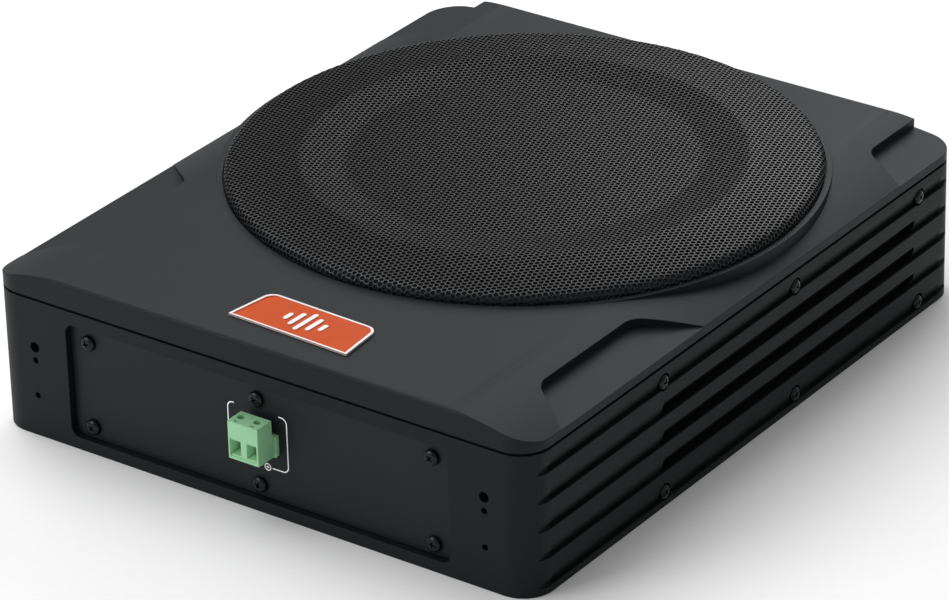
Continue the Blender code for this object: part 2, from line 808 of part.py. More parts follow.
def make_rear_controls(materials):
    block = finish_object(
        "power_terminal",
        box((POWER_TERMINAL_X - 0.0162, 0.1385, 0.0215), (POWER_TERMINAL_X + 0.0162, 0.1545, 0.0365)),
        materials["plastic"],
    )
    bays = []
    heads = []
    for pole in (-1, 0, 1):
        x = POWER_TERMINAL_X + pole * 0.0105
        bays.append(box((x - 0.0043, 0.1495, 0.0232), (x + 0.0043, 0.160, 0.040)))
        heads.append(along_y(rod(0.0030, -0.0010, 0.0022, 12), x, CONTROL_Z, 0.1495))
    change(block, "DIFFERENCE", bays, "bays")
    change(block, "UNION", heads, "screws")

    holder = finish_object(
        "fuse_holder",
        box((FUSE_X - 0.0082, 0.1385, CONTROL_Z - 0.0052), (FUSE_X + 0.0082, 0.1490, CONTROL_Z + 0.0052)),
        materials["plastic"],
    )
    slot = box((FUSE_X - 0.0067, 0.1400, CONTROL_Z - 0.0031), (FUSE_X + 0.0067, 0.16, CONTROL_Z + 0.0031))
    change(holder, "DIFFERENCE", [slot], "slot")

    fuse = finish_object(
        "fuse",
        box((-0.0095, 0.0, -0.0026), (0.0095, 0.0080, 0.0026)),
        materials["fuse"],
    )
    place(fuse, (FUSE_X, 0.1494, CONTROL_Z))
    low = (FUSE_X - 0.0062, 0.1405, CONTROL_Z - 0.0026)
    blades = box(low, (FUSE_X + 0.0062, 0.1500, CONTROL_Z + 0.0026))
    change(fuse, "UNION", [blades], "blades")

    for name, offset, colour in (("line_jack_left", 0.0075, "white"), ("line_jack_right", -0.0075, "red")):
        profile = [
            (0.0016, -0.006),
            (0.0038, -0.006),
            (0.0038, 0.0003),
            (0.0053, 0.0003),
            (0.0053, 0.0018),
            (0.0041, 0.0018),
            (0.0041, 0.0090),
            (0.0033, 0.0090),
            (0.0033, 0.0),
            (0.0016, 0.0),
        ]
        jack = finish_object(name, turned(profile, 20), materials[colour], 40)
        place(jack, (JACK_X, REAR_FACE, CONTROL_Z + offset), (0, 1, 0))

    sheet = box((-0.072, 0.1335, 0.0165), (-0.026, 0.1351, 0.0415))
    board = finish_object("control_board", sheet, materials["board"])
    bodies = []
    for x in (GAIN_X, LOWPASS_X):
        low = (x - 0.0048, 0.1345, CONTROL_Z - 0.0048)
        bodies.append(box(low, (x + 0.0048, 0.1405, CONTROL_Z + 0.0048)))
        bodies.append(along_y(rod(0.0031, -0.0010, 0.0083, 12), x, CONTROL_Z, 0.1400))
    low = (PHASE_X - 0.0040, 0.1345, CONTROL_Z - 0.0062)
    bodies.append(box(low, (PHASE_X + 0.0040, 0.1405, CONTROL_Z - 0.0018)))
    change(board, "UNION", bodies, "pots")

    for name, x in (("gain_knob", GAIN_X), ("lowpass_knob", LOWPASS_X)):
        profile = [
            (0, 0.0022),
            (0.0058, 0.0022),
            (0.0058, 0.0045),
            (0.0050, 0.0115),
            (0.0046, 0.0120),
            (0, 0.0120),
        ]
        knob = finish_object(name, turned(profile, 24), materials["plastic"], 40)
        place_with_helpers(knob, (x, REAR_FACE, CONTROL_Z), (0, 1, 0))
        mark = box((x - 0.0004, 0.1550, CONTROL_Z + 0.0010), (x + 0.0004, 0.1600, CONTROL_Z + 0.0060))
        change(knob, "DIFFERENCE", [mark], "mark")

    slider = finish_object(
        "phase_switch",
        box((PHASE_X - 0.0034, 0.1409, CONTROL_Z - 0.0057), (PHASE_X + 0.0004, 0.1492, CONTROL_Z - 0.0023)),
        materials["plastic"],
    )
    return slider


def make_power_led(material):
    profile = [(0, -0.008), (0.0015, -0.008), (0.0015, 0.0003), (0.0012, 0.0011), (0, 0.0015)]
    led = finish_object("power_led", turned(profile, 12), material, 60)
    place(led, (LED_X, REAR_FACE, CONTROL_Z + 0.009), (0, 1, 0))


def build():
    clear_scene()
    shell = make_material("shell_black", (0.028, 0.031, 0.033), 0.55)
    steel_black = make_material("panel_black", (0.030, 0.033, 0.035), 0.50, 0.2)
    screw_black = make_material("screw_black", (0.02, 0.02, 0.02), 0.30, 0.9)
    green = make_material("terminal_green", (0.10, 0.42, 0.16), 0.40)
    board = make_material("board_green", (0.02, 0.10, 0.05), 0.45)
    materials = {
        "basket": make_material("basket_paint", (0.03, 0.03, 0.03), 0.45, 0.4),
        "rubber": make_material("rubber_black", (0.02, 0.02, 0.02), 0.80),
        "steel": make_material("plated_steel", (0.45, 0.45, 0.46), 0.35, 1.0),
        "ferrite": make_material("ferrite_grey", (0.06, 0.06, 0.065), 0.70),
        "former": make_material("former_aluminium", (0.62, 0.62, 0.63), 0.35, 1.0),
        "copper": make_material("copper_wire", (0.60, 0.28, 0.12), 0.35, 1.0),
        "cone": make_material("cone_paper", (0.03, 0.03, 0.03), 0.65),
        "spider": make_material("spider_cloth", (0.55, 0.42, 0.20), 0.85),
        "board": board,
        "aluminium": make_material("aluminium_bar", (0.60, 0.61, 0.62), 0.40, 1.0),
        "plastic": make_material("black_plastic", (0.025, 0.025, 0.025), 0.45),
        "sleeve": make_material("capacitor_sleeve", (0.03, 0.05, 0.12), 0.35),
        "fuse": make_material("fuse_body", (0.75, 0.35, 0.05), 0.25),
        "white": make_material("jack_white", (0.80, 0.80, 0.80), 0.35),
        "red": make_material("jack_red", (0.60, 0.03, 0.03), 0.35),
    }

    make_lower_case(shell)
    make_base_plate(steel_black)
    make_case_screws(screw_black)
    make_lid(shell)
    make_lid_seal(materials["rubber"])
    make_grille(make_material("grille_black", (0.02, 0.02, 0.02), 0.40, 0.6))
    make_badge(make_material("badge_orange", (0.75, 0.16, 0.02), 0.30))
    make_vent_screens(steel_black)
    socket_opening = through_panel(-1, PLUG_X, 0.0293, 0.0081, 0.0048)
    make_panel("front_panel", -1, steel_black, [socket_opening])
    make_panel("rear_panel", 1, steel_black, rear_openings())
    make_visible_screws(screw_black)
    make_terminal(green, board)
    make_driver(materials)
    make_partition(shell)
    make_amplifier(materials)
    make_rear_controls(materials)
    make_power_led(make_material("led_blue", (0.05, 0.20, 0.80), 0.20))


build()
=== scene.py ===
import math

import bpy
from mathutils import Matrix, Vector


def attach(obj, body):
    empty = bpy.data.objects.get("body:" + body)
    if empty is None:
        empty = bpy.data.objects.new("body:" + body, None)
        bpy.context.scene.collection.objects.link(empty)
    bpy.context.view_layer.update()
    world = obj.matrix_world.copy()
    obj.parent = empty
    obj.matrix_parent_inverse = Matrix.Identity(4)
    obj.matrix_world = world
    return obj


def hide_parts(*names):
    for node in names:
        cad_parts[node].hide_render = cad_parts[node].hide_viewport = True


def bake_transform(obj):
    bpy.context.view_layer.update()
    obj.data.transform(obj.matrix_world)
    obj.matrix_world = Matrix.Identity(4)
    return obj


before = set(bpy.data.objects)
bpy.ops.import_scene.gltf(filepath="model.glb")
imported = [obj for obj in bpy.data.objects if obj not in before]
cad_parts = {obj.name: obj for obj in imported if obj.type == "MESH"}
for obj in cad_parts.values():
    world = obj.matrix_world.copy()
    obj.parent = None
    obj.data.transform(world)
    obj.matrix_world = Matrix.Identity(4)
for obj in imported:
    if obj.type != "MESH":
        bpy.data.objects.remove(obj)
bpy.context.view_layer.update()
scene = bpy.context.scene

# The main sizes, in metres. The rest sits beside each piece.
body = {
    "halfWidth": 0.127,
    "halfLength": 0.150,
    "corner": 0.013,
    "caseTop": 0.0595,
    "lidBottom": 0.0607,
    "lidTop": 0.0714,
    "driverY": 0.028,
}


def clearSelection():
    if bpy.context.mode != "OBJECT":
        bpy.ops.object.mode_set(mode="OBJECT")
    bpy.ops.object.select_all(action="DESELECT")


def pick(obj):
    clearSelection()
    obj.select_set(True)
    bpy.context.view_layer.objects.active = obj
    return obj


def editAll(obj, mode="VERT"):
    pick(obj)
    bpy.ops.object.mode_set(mode="EDIT")
    bpy.ops.mesh.select_mode(type=mode)
    bpy.ops.mesh.select_all(action="SELECT")


def leaveEdit():
    bpy.ops.object.mode_set(mode="OBJECT")
    return bpy.context.object


def freeze(obj):
    pick(obj)
    bpy.ops.object.transform_apply(location=True, rotation=True, scale=True)
    return obj


def block(low, high):
    # a box between two corners
    clearSelection()
    centre = [(a + b) / 2 for a, b in zip(low, high)]
    bpy.ops.mesh.primitive_cube_add(size=1, location=centre)
    obj = bpy.context.object
    obj.scale = [b - a for a, b in zip(low, high)]
    return freeze(obj)


def selectEdges(obj, test):
    # test gets the two ends of each edge
    pick(obj)
    mesh = obj.data
    bpy.ops.object.mode_set(mode="EDIT")
    bpy.ops.mesh.select_mode(type="EDGE")
    bpy.ops.mesh.select_all(action="DESELECT")
    bpy.ops.object.mode_set(mode="OBJECT")
    for edge in mesh.edges:
        a, b = (mesh.vertices[v].co for v in edge.vertices)
        edge.select = bool(test(a, b))
    bpy.ops.object.mode_set(mode="EDIT")


def selectFaces(obj, test):
    # test gets each face
    pick(obj)
    mesh = obj.data
    bpy.ops.object.mode_set(mode="EDIT")
    bpy.ops.mesh.select_mode(type="FACE")
    bpy.ops.mesh.select_all(action="DESELECT")
    bpy.ops.object.mode_set(mode="OBJECT")
    for face in mesh.polygons:
        face.select = bool(test(face))
    bpy.ops.object.mode_set(mode="EDIT")


def roundEdges(obj, test, width, segments=3):
    selectEdges(obj, test)
    bpy.ops.mesh.bevel(offset=width, segments=segments, affect="EDGES", clamp_overlap=False)
    return leaveEdit()


def along(axis):
    # true for edges that run along one axis
    others = [i for i in range(3) if i != axis]
    return lambda a, b: all(abs(a[i] - b[i]) < 1e-6 for i in others)


def outline(points, close=True):
    # draws a chain of vertices by extruding one after another
    clearSelection()
    bpy.ops.mesh.primitive_plane_add(size=0.001, location=points[0])
    obj = freeze(bpy.context.object)
    editAll(obj)
    bpy.ops.mesh.merge(type="CENTER")
    chain = list(points[1:]) + ([points[0]] if close else [])
    here = Vector(points[0])
    for point in chain:
        step = Vector(point) - here
        bpy.ops.mesh.extrude_region_move(TRANSFORM_OT_translate={"value": step})
        here = Vector(point)
    bpy.ops.mesh.select_all(action="SELECT")
    if close:
        bpy.ops.mesh.remove_doubles(threshold=1e-6)
        bpy.ops.mesh.select_all(action="SELECT")
    return obj


def extruded(points, travel):
    # a filled outline pushed along a vector
    obj = outline(points)
    bpy.ops.mesh.edge_face_add()
    bpy.ops.mesh.select_all(action="SELECT")
    bpy.ops.mesh.extrude_region_move(TRANSFORM_OT_translate={"value": travel})
    bpy.ops.mesh.select_all(action="SELECT")
    bpy.ops.mesh.normals_make_consistent(inside=False)
    return leaveEdit()


def spun(profile, centre=(0, 0, 0), axis="Z", steps=64, close=False):
    # profile is (radius, height) up the axis; open ends that touch the axis are closed by the merge
    cx, cy, cz = centre
    place = {
        "Z": lambda r, h: (cx + r, cy, cz + h),
        "Y": lambda r, h: (cx + r, cy + h, cz),
        "X": lambda r, h: (cx + h, cy + r, cz),
    }[axis]
    direction = {"Z": (0, 0, 1), "Y": (0, 1, 0), "X": (1, 0, 0)}[axis]
    obj = outline([place(r, h) for r, h in profile], close)
    bpy.ops.mesh.spin(steps=steps, angle=2 * math.pi, center=centre, axis=direction)
    bpy.ops.mesh.select_all(action="SELECT")
    bpy.ops.mesh.remove_doubles(threshold=2e-6)
    bpy.ops.mesh.select_all(action="SELECT")
    bpy.ops.mesh.normals_make_consistent(inside=False)
    return leaveEdit()


def turnedRod(radius, low, high, centre, axis="Z", steps=32):
    return spun([(0, low), (radius, low), (radius, high), (0, high)], centre, axis, steps)


def combine(obj, tools, operation="DIFFERENCE"):
    # joins the tools into one mesh and uses it once
    if len(tools) > 1:
        clearSelection()
        for tool in tools:
            tool.select_set(True)
        bpy.context.view_layer.objects.active = tools[0]
        bpy.ops.object.join()
    tool = tools[0]
    pick(obj)
    bpy.ops.object.modifier_add(type="BOOLEAN")
    modifier = obj.modifiers[-1]
    modifier.operation = operation
    modifier.solver = "EXACT"
    modifier.use_self = len(tools) > 1
    modifier.object = tool
    bpy.ops.object.modifier_apply(modifier=modifier.name)
    bpy.data.objects.remove(tool, do_unlink=True)
    return obj


def smooth(obj, angle=32, weighted=False):
    pick(obj)
    bpy.ops.object.shade_smooth_by_angle(angle=math.radians(angle))
    if weighted:
        # keeps the large flat faces flat beside the curved ones
        bpy.ops.object.modifier_add(type="WEIGHTED_NORMAL")
        obj.modifiers[-1].keep_sharp = True
        bpy.ops.object.modifier_apply(modifier=obj.modifiers[-1].name)
    return obj


def dress(obj, name, material, rider, replaced=()):
    # names a finished piece, gives it its finish and lets it ride
    freeze(obj)
    obj.name = name
    obj.data.name = name
    obj.data.materials.clear()
    obj.data.materials.append(material)
    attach(obj, rider)
    if replaced:
        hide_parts(*replaced)
    return obj


def paint(material, *nodes):
    # gives kept CAD nodes their finish
    for node in nodes:
        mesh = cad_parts[node].data
        mesh.materials.clear()
        mesh.materials.append(material)


class Val:
    # wraps a socket so that shader maths reads as an expression
    def __init__(self, look, socket):
        self.look = look
        self.socket = socket

    def _math(self, other, operation, swap=False):
        pair = [other, self] if swap else [self, other]
        return self.look.node("Math", {"operation": operation}, {0: pair[0], 1: pair[1]})

    def __add__(self, other):
        return self._math(other, "ADD")

    def __sub__(self, other):
        return self._math(other, "SUBTRACT")

    def __rsub__(self, other):
        return self._math(other, "SUBTRACT", True)

    def __mul__(self, other):
        return self._math(other, "MULTIPLY")

    def __pow__(self, other):
        return self._math(other, "POWER")

    def __lt__(self, other):
        return self._math(other, "LESS_THAN")

    def __gt__(self, other):
        return self._math(other, "GREATER_THAN")

    def below(self, other):
        return self._math(other, "MINIMUM")

    def above(self, other):
        return self._math(other, "MAXIMUM")

    def size(self):
        return self.look.node("Math", {"operation": "ABSOLUTE"}, {0: self})


class Look:
    # one material: node() adds any node and returns its first output
    def __init__(self, name):
        self.material = bpy.data.materials.new(name)
        self.material.use_nodes = True
        self.tree = self.material.node_tree
        self.shader = self.tree.nodes["Principled BSDF"]
        self.coords = self.node("TexCoord", {}, {}, "Object")

    def node(self, kind, settings, inputs, output=0):
        made = self.tree.nodes.new("ShaderNode" + kind)
        for key, value in settings.items():
            setattr(made, key, value)
        for key, value in inputs.items():
            self.feed(made.inputs[key], value)
        return Val(self, made.outputs[output])

    def feed(self, socket, value):
        if isinstance(value, Val):
            self.tree.links.new(value.socket, socket)
        else:
            if socket.type == "RGBA" and len(value) == 3:
                value = (*value, 1)
            socket.default_value = value

    def set(self, **values):
        for key, value in values.items():
            self.feed(self.shader.inputs[key.replace("_", " ")], value)

    def noise(self, scale, detail=2, roughness=0.5):
        inputs = {"Vector": self.coords, "Scale": scale, "Detail": detail, "Roughness": roughness}
        return self.node("TexNoise", {}, inputs)

    def mix(self, factor, first, second):
        return self.node("Mix", {"data_type": "RGBA"}, {0: factor, 6: first, 7: second}, 2)

    def axes(self):
        split = self.node("SeparateXYZ", {}, {0: self.coords})
        outputs = split.socket.node.outputs
        return [Val(self, outputs[i]) for i in range(3)]

    def bump(self, height, strength, distance=0.0002, edge=0.0):
        inputs = {"Height": height, "Strength": strength, "Distance": distance}
        if edge:
            inputs["Normal"] = self.node("Bevel", {"samples": 4}, {"Radius": edge})
        self.feed(self.shader.inputs["Normal"], self.node("Bump", {}, inputs))


def grainyPaint(
    name, colour, roughness, grain=0.25, edge=0.0004, metallic=0.0, wear=0.25, sheen=0.18, paintedGrooveShade=False
):
    # sprayed powder coat: fine orange peel, faint cloudiness; the groove option makes the side grooves
    # dull and paints shade into them, a darker colour where the rib above would shade them
    look = Look(name)
    cloud = look.noise(9, 3)
    speck = look.noise(5200, 1)
    peel = look.noise(1500, 2)
    darker = [c * (1 - wear * 0.5) for c in colour]
    lighter = [c * (1 + wear * 0.5) for c in colour]
    tone = look.mix(cloud * 0.7 + speck * 0.3, darker, lighter)
    rough = cloud * 0.10 + speck * 0.06 + (roughness - 0.08)
    if paintedGrooveShade:
        # painted shade: inside the side grooves and slots the colour falls to a fifth, standing in for the
        # shadow under each rib
        x, y, z = look.axes()
        depth = (body["halfWidth"] - x.size() - 0.0001).above(0.0) * 1400
        shade = depth.below(1.0) * (y.size() < body["halfLength"] - body["corner"])
        tone = look.mix(shade, tone, [c * 0.2 for c in colour])
        rough = rough + shade * 0.35
    look.set(Base_Color=tone, Roughness=rough, Metallic=metallic)
    look.shader.inputs["Specular IOR Level"].default_value = sheen
    look.bump(peel * 0.6 + speck * 0.4, grain, 0.00012, edge)
    return look.material


def moulded(name, colour, roughness, grain=0.10, edge=0.0003, coat=0.0):
    # injection-moulded plastic
    look = Look(name)
    cloud = look.noise(60, 2)
    speck = look.noise(3000, 2)
    tone = look.mix(cloud, [c * 0.93 for c in colour], [min(1, c * 1.07) for c in colour])
    look.set(Base_Color=tone, Roughness=cloud * 0.12 + (roughness - 0.06), Coat_Weight=coat)
    look.bump(speck, grain, 0.0001, edge)
    return look.material


def turnedMetal(name, colour, roughness, metallic=1.0, grain=0.12, edge=0.0002):
    # plated or machined metal with a faint lathe texture
    look = Look(name)
    cloud = look.noise(80, 3)
    fineGrain = look.noise(2600, 2)
    tone = look.mix(cloud, [c * 0.85 for c in colour], [min(1, c * 1.1) for c in colour])
    look.set(Base_Color=tone, Roughness=cloud * 0.18 + (roughness - 0.09), Metallic=metallic)
    look.bump(fineGrain, grain, 0.00008, edge)
    return look.material


print("stage: materials")
# the case coat carries painted shade in its side grooves
caseCoat = grainyPaint("casePowderCoat", (0.0042, 0.0065, 0.0076), 0.55, 0.30, 0.0005, paintedGrooveShade=True)
lidCoat = grainyPaint("lidPowderCoat", (0.0044, 0.0078, 0.0100), 0.50, 0.32, 0.0004)
grilleCoat = grainyPaint("grilleEnamel", (0.019, 0.0195, 0.0215), 0.36, 0.10, 0.0, 0.3, 0.25, 0.35)
screenCoat = grainyPaint("screenPaint", (0.006, 0.006, 0.0065), 0.7, 0.2, 0.0003)
baseCoat = grainyPaint("baseplatePaint", (0.018, 0.019, 0.020), 0.55, 0.25, 0.0003)
screwBlack = turnedMetal("blackZinc", (0.020, 0.021, 0.023), 0.26, 0.9)
rubber = grainyPaint("rubberBlack", (0.006, 0.006, 0.006), 0.85, 0.4, 0.0002)
conePaper = grainyPaint("conePulp", (0.010, 0.010, 0.011), 0.75, 0.6, 0.0)
basketPaint = grainyPaint("basketPaint", (0.012, 0.012, 0.013), 0.45, 0.2, 0.0003, 0.3)
platedSteel = turnedMetal("platedSteel", (0.48, 0.48, 0.49), 0.34)
ferrite = grainyPaint("ferriteCeramic", (0.035, 0.035, 0.038), 0.72, 0.5, 0.0004)
barAluminium = turnedMetal("milledAluminium", (0.62, 0.63, 0.64), 0.40)
greenBody = moulded("terminalGreen", (0.300, 0.600, 0.330), 0.38, 0.08, 0.0003)
blackBody = moulded("blackPlastic", (0.014, 0.014, 0.015), 0.42, 0.15)
sleeveBlue = moulded("capacitorSleeve", (0.016, 0.020, 0.055), 0.28, 0.05)
fuseAmber = moulded("fuseAmber", (0.60, 0.19, 0.02), 0.18, 0.03, 0.0003, 0.4)
jackWhite = moulded("jackWhite", (0.72, 0.72, 0.70), 0.30)
jackRed = moulded("jackRed", (0.42, 0.016, 0.016), 0.30)
ledBlue = moulded("ledBlue", (0.03, 0.12, 0.62), 0.12, 0.02, 0.0, 0.6)


def windingCopper():
    look = Look("windingCopper")
    inputs = {"Vector": look.coords, "Scale": 520, "Distortion": 0.6}
    wave = look.node("TexWave", {"bands_direction": "Z"}, inputs)
    tone = look.mix(wave, (0.16, 0.045, 0.015), (0.62, 0.25, 0.09))
    look.set(Base_Color=tone, Roughness=wave * 0.1 + 0.28, Metallic=0.9)
    look.bump(wave, 0.6, 0.0002)
    return look.material


def spiderCloth():
    look = Look("spiderCloth")
    inputs = {"Vector": look.coords, "Scale": 1400, "Color1": (1, 1, 1), "Color2": (0, 0, 0)}
    weave = look.node("TexChecker", {}, inputs)
    cloud = look.noise(200, 3)
    tone = look.mix(cloud, (0.34, 0.20, 0.07), (0.50, 0.33, 0.14))
    look.set(Base_Color=tone, Roughness=cloud * 0.1 + 0.8)
    look.bump(weave * 0.5 + cloud * 0.5, 0.5, 0.0002)
    return look.material


def circuitBoard():
    look = Look("boardMask")
    cloud = look.noise(90, 4, 0.7)
    settings = {"distance": "MANHATTAN", "feature": "DISTANCE_TO_EDGE"}
    track = look.node("TexVoronoi", settings, {"Vector": look.coords, "Scale": 260})
    line = track < 0.06
    mask = look.mix(cloud, (0.008, 0.055, 0.024), (0.014, 0.080, 0.036))
    tone = look.mix(line, mask, (0.030, 0.150, 0.060))
    look.set(Base_Color=tone, Roughness=cloud * 0.15 + 0.32)
    look.bump(line, 0.4, 0.0001, 0.0002)
    return look.material


copperWire = windingCopper()
cupCloth = spiderCloth()
boardGreen = circuitBoard()


caseShape = {
    "wall": 0.0045,
    "ribPitch": 0.0119,
    "firstRib": 0.0026,
    "grooveDepth": 0.0019,
    "slotLow": -0.0637,
    "slotHigh": 0.1165,
    "slotHeight": 0.0060,
    "recessHalf": 0.090,
    "recessLow": 0.005,
    "recessHigh": 0.054,
    "recessFloor": 0.1447,
    "recessRound": 0.004,
    "cornerSteps": 12,
    "bossX": 0.1165,
    "bossY": 0.1405,
    "bossRadius": 0.006,
    "boreRadius": 0.0022,
    "ledgeHalf": 0.097,
    "ledgeLow": 0.0024,
    "windowHalf": 0.074,
    "windowLow": 0.015,
    "windowHigh": 0.044,
    "windowRound": 0.003,
    "bracketX": 0.106,
    "seatRadius": 0.0037,
    "seatDepth": 0.0014,
}


def roundedBlock(halfWidth, halfLength, low, high, radius, steps):
    obj = block((-halfWidth, -halfLength, low), (halfWidth, halfLength, high))
    return roundEdges(obj, along(2), radius, steps)


def grooveTool(side, low):
    # a ledge at the foot, then a long slope back out to the rib above
    outer = body["halfWidth"]
    deep = caseShape["grooveDepth"]
    steps = (
        (-0.0012, -0.0004),
        (0.0, 0.0),
        (deep * 0.90, 0.0003),
        (deep, 0.0006),
        (deep, 0.0009),
        (deep * 0.90, 0.0013),
        (deep * 0.62, 0.0019),
        (deep * 0.42, 0.0026),
        (deep * 0.28, 0.0034),
        (deep * 0.16, 0.0043),
        (deep * 0.06, 0.0053),
        (0.0, 0.0063),
        (-0.0012, 0.0071),
    )
    points = [(side * (outer - depth), -0.17, low + height) for depth, height in steps]
    return extruded(points, (0, 0.34, 0))


def slotTool(side, low):
    outer = body["halfWidth"]
    ends = sorted((side * (outer + 0.002), side * (outer - 0.006)))
    top = low + caseShape["slotHeight"]
    return block((ends[0], caseShape["slotLow"], low + 0.0001), (ends[1], caseShape["slotHigh"], top))


def recessTool(side):
    face = body["halfLength"] + 0.001
    ends = sorted((side * caseShape["recessFloor"], side * face))
    half = caseShape["recessHalf"]
    obj = block((-half, ends[0], caseShape["recessLow"]), (half, ends[1], caseShape["recessHigh"]))
    return roundEdges(obj, along(1), caseShape["recessRound"], 5)


sideScrewY = (-0.063, 0.0285, 0.120)
sideScrewZ = (0.006, 0.053)
endScrewX = (-0.081, 0.0, 0.081)
endScrewZ = (0.0102, 0.0468)
bracketHoles = ((0.0389, 0.0022), (0.0332, 0.00135), (0.0178, 0.00135))  # height and radius


def makeCase():
    half, length = body["halfWidth"], body["halfLength"]
    wall = caseShape["wall"]
    case = roundedBlock(half, length, 0.0, body["caseTop"], body["corner"], caseShape["cornerSteps"])
    hollow = roundedBlock(half - wall, length - 0.003, -0.01, 0.08, 0.008, 6)
    combine(case, [hollow])
    for side in (-1, 1):
        inner, outer = sorted((side * (length - 0.0076), side * (length - 0.001)))
        reach, foot = caseShape["ledgeHalf"], caseShape["ledgeLow"]
        ledge = block((-reach, inner, foot), (reach, outer, body["caseTop"] - 0.002))
        combine(case, [ledge], "UNION")
        for across in (-1, 1):
            place = (across * caseShape["bossX"], side * caseShape["bossY"], 0)
            combine(case, [turnedRod(caseShape["bossRadius"], foot, 0.058, place, "Z", 24)], "UNION")
            combine(case, [turnedRod(caseShape["boreRadius"], 0.002, 0.07, place, "Z", 16)])
    tools = []
    for side in (-1, 1):
        for rib in range(5):
            low = caseShape["firstRib"] + rib * caseShape["ribPitch"]
            tools.append(grooveTool(side, low))
    combine(case, tools)
    tools = []
    for side in (-1, 1):
        for rib in (1, 2, 3):
            tools.append(slotTool(side, caseShape["firstRib"] + rib * caseShape["ribPitch"]))
        for y in sideScrewY:
            for z in sideScrewZ:
                seat = (side * (half - caseShape["seatDepth"]), y, z)
                ends = sorted((0, side * 0.003))
                tools.append(turnedRod(caseShape["seatRadius"], ends[0], ends[1], seat, "X", 28))
        for x in (-caseShape["bracketX"], caseShape["bracketX"]):
            for z, radius in bracketHoles:
                ends = sorted((side * -0.006, side * 0.003))
                tools.append(turnedRod(radius, ends[0], ends[1], (x, side * length, z), "Y", 24))
    combine(case, tools)
    combine(case, [recessTool(-1), recessTool(1)])
    windows = []
    for side in (-1, 1):
        ends = sorted((side * 0.135, side * 0.149))
        reach = caseShape["windowHalf"]
        corners = (-reach, ends[0], caseShape["windowLow"]), (reach, ends[1], caseShape["windowHigh"])
        windows.append(roundEdges(block(*corners), along(1), caseShape["windowRound"], 3))
    combine(case, windows)
    smooth(case, 28, True)
    return dress(case, "caseShell", caseCoat, "enclosure", ["lower_case"])


print("stage: case")
makeCase()


lidShape = {
    "flatHalf": 0.088,
    "crownRadius": 0.110,
    "edgeRound": 0.0018,
    "pedestal": 0.1218,
    "landX": 0.106,
    "landDrop": 0.0036,
    "landCorner": 0.0045,
    "frontLand": (0.0815, 0.0620),
    "rearLand": (0.0865, 0.0755),
    "crownSteps": 18,
    "hollowHalf": 0.086,
    "hollowTop": 0.0682,
    "ringRadius": 0.112,
    "grilleSeat": (0.1171, 0.1194),
    "seatFloor": 0.0700,
    "gasketRadius": 0.106,
    "mouthRadius": 0.098,
}


def crownHeight(x):
    beyond = max(abs(x) - lidShape["flatHalf"], 0.0)
    radius = lidShape["crownRadius"]
    return body["lidTop"] - radius + math.sqrt(radius**2 - beyond**2)


def roundedTop(halfWidth, halfLength, radius, low, high, edge, steps):
    # rounded corners in plan and a rolled edge all round the top
    obj = roundedBlock(halfWidth, halfLength, low, high, radius, steps)
    onTop = lambda a, b: min(a.z, b.z) > high - 1e-6
    return roundEdges(obj, onTop, edge, 6)


def landTool(side, mirror):
    # one lowered land: a trapezoid in plan, floor falling gently outwards
    half = body["halfWidth"] + 0.002
    inner = crownHeight(lidShape["landX"]) - lidShape["landDrop"]
    outer = crownHeight(body["halfWidth"]) - 0.0002
    fall = (outer - inner) / (body["halfWidth"] - lidShape["landX"])
    near, spread = lidShape["rearLand"] if mirror > 0 else lidShape["frontLand"]
    plan = [(lidShape["landX"], near), (half, spread), (half, 0.160), (lidShape["landX"], 0.1425)]
    base = []
    for x, y in plan:
        base.append((side * x, body["driverY"] + mirror * y, inner + fall * (x - lidShape["landX"])))
    obj = outline(base)
    bpy.ops.mesh.edge_face_add()
    bpy.ops.mesh.select_all(action="SELECT")
    bpy.ops.mesh.extrude_region_move(TRANSFORM_OT_translate={"value": (0, 0, 0.012)})
    bpy.ops.mesh.select_all(action="SELECT")
    bpy.ops.mesh.normals_make_consistent(inside=False)
    leaveEdit()
    innerEdge = lambda a, b: along(2)(a, b) and abs(abs(a.x) - lidShape["landX"]) < 1e-5
    return roundEdges(obj, innerEdge, lidShape["landCorner"], 6)


def makeLid():
    half, length = body["halfWidth"], body["halfLength"]
    right = [(half + 0.001, body["lidBottom"]), (half + 0.001, crownHeight(half))]
    steps = lidShape["crownSteps"]
    for step in range(steps + 1):
        x = half - (half - lidShape["flatHalf"]) * step / steps
        right.append((x, crownHeight(x)))
    section = right + [(-x, z) for x, z in reversed(right)]
    lid = extruded([(x, -length - 0.001, z) for x, z in section], (0, 2 * length + 0.002, 0))
    pedestal = turnedRod(lidShape["pedestal"], 0.0625, body["lidTop"], (0, body["driverY"], 0), "Z", 160)
    combine(lid, [pedestal], "UNION")
    edge, steps = lidShape["edgeRound"], caseShape["cornerSteps"]
    plan = roundedTop(half, length, body["corner"], 0.05, body["lidTop"], edge, steps)
    combine(lid, [plan], "INTERSECT")
    for side in (-1, 1):
        for mirror in (-1, 1):
            combine(lid, [landTool(side, mirror)])
    wide = half - 0.0042
    flat, top = lidShape["hollowHalf"], lidShape["hollowTop"]
    under = [(wide, 0.05), (wide, 0.0612), (flat, top), (-flat, top), (-wide, 0.0612), (-wide, 0.05)]
    hollow = extruded([(x, -length + 0.0035, z) for x, z in under], (0, 2 * length - 0.007, 0))
    combine(lid, [hollow])
    centre = (0, body["driverY"], 0)
    floor = lidShape["seatFloor"]
    combine(lid, [turnedRod(lidShape["ringRadius"], 0.060, floor, centre, "Z", 96)], "UNION")
    near, far = lidShape["grilleSeat"]
    seat = spun([(near, floor), (far, floor), (far, 0.075), (near, 0.075)], centre, "Z", 192, True)
    combine(lid, [seat])
    combine(lid, [turnedRod(lidShape["gasketRadius"], 0.063, 0.08, centre, "Z", 128)])
    combine(lid, [turnedRod(lidShape["mouthRadius"], 0.05, 0.08, centre, "Z", 128)])
    smooth(lid, 24, True)
    return dress(lid, "lidShell", lidCoat, "enclosure", ["lid"])


print("stage: lid")
makeLid()


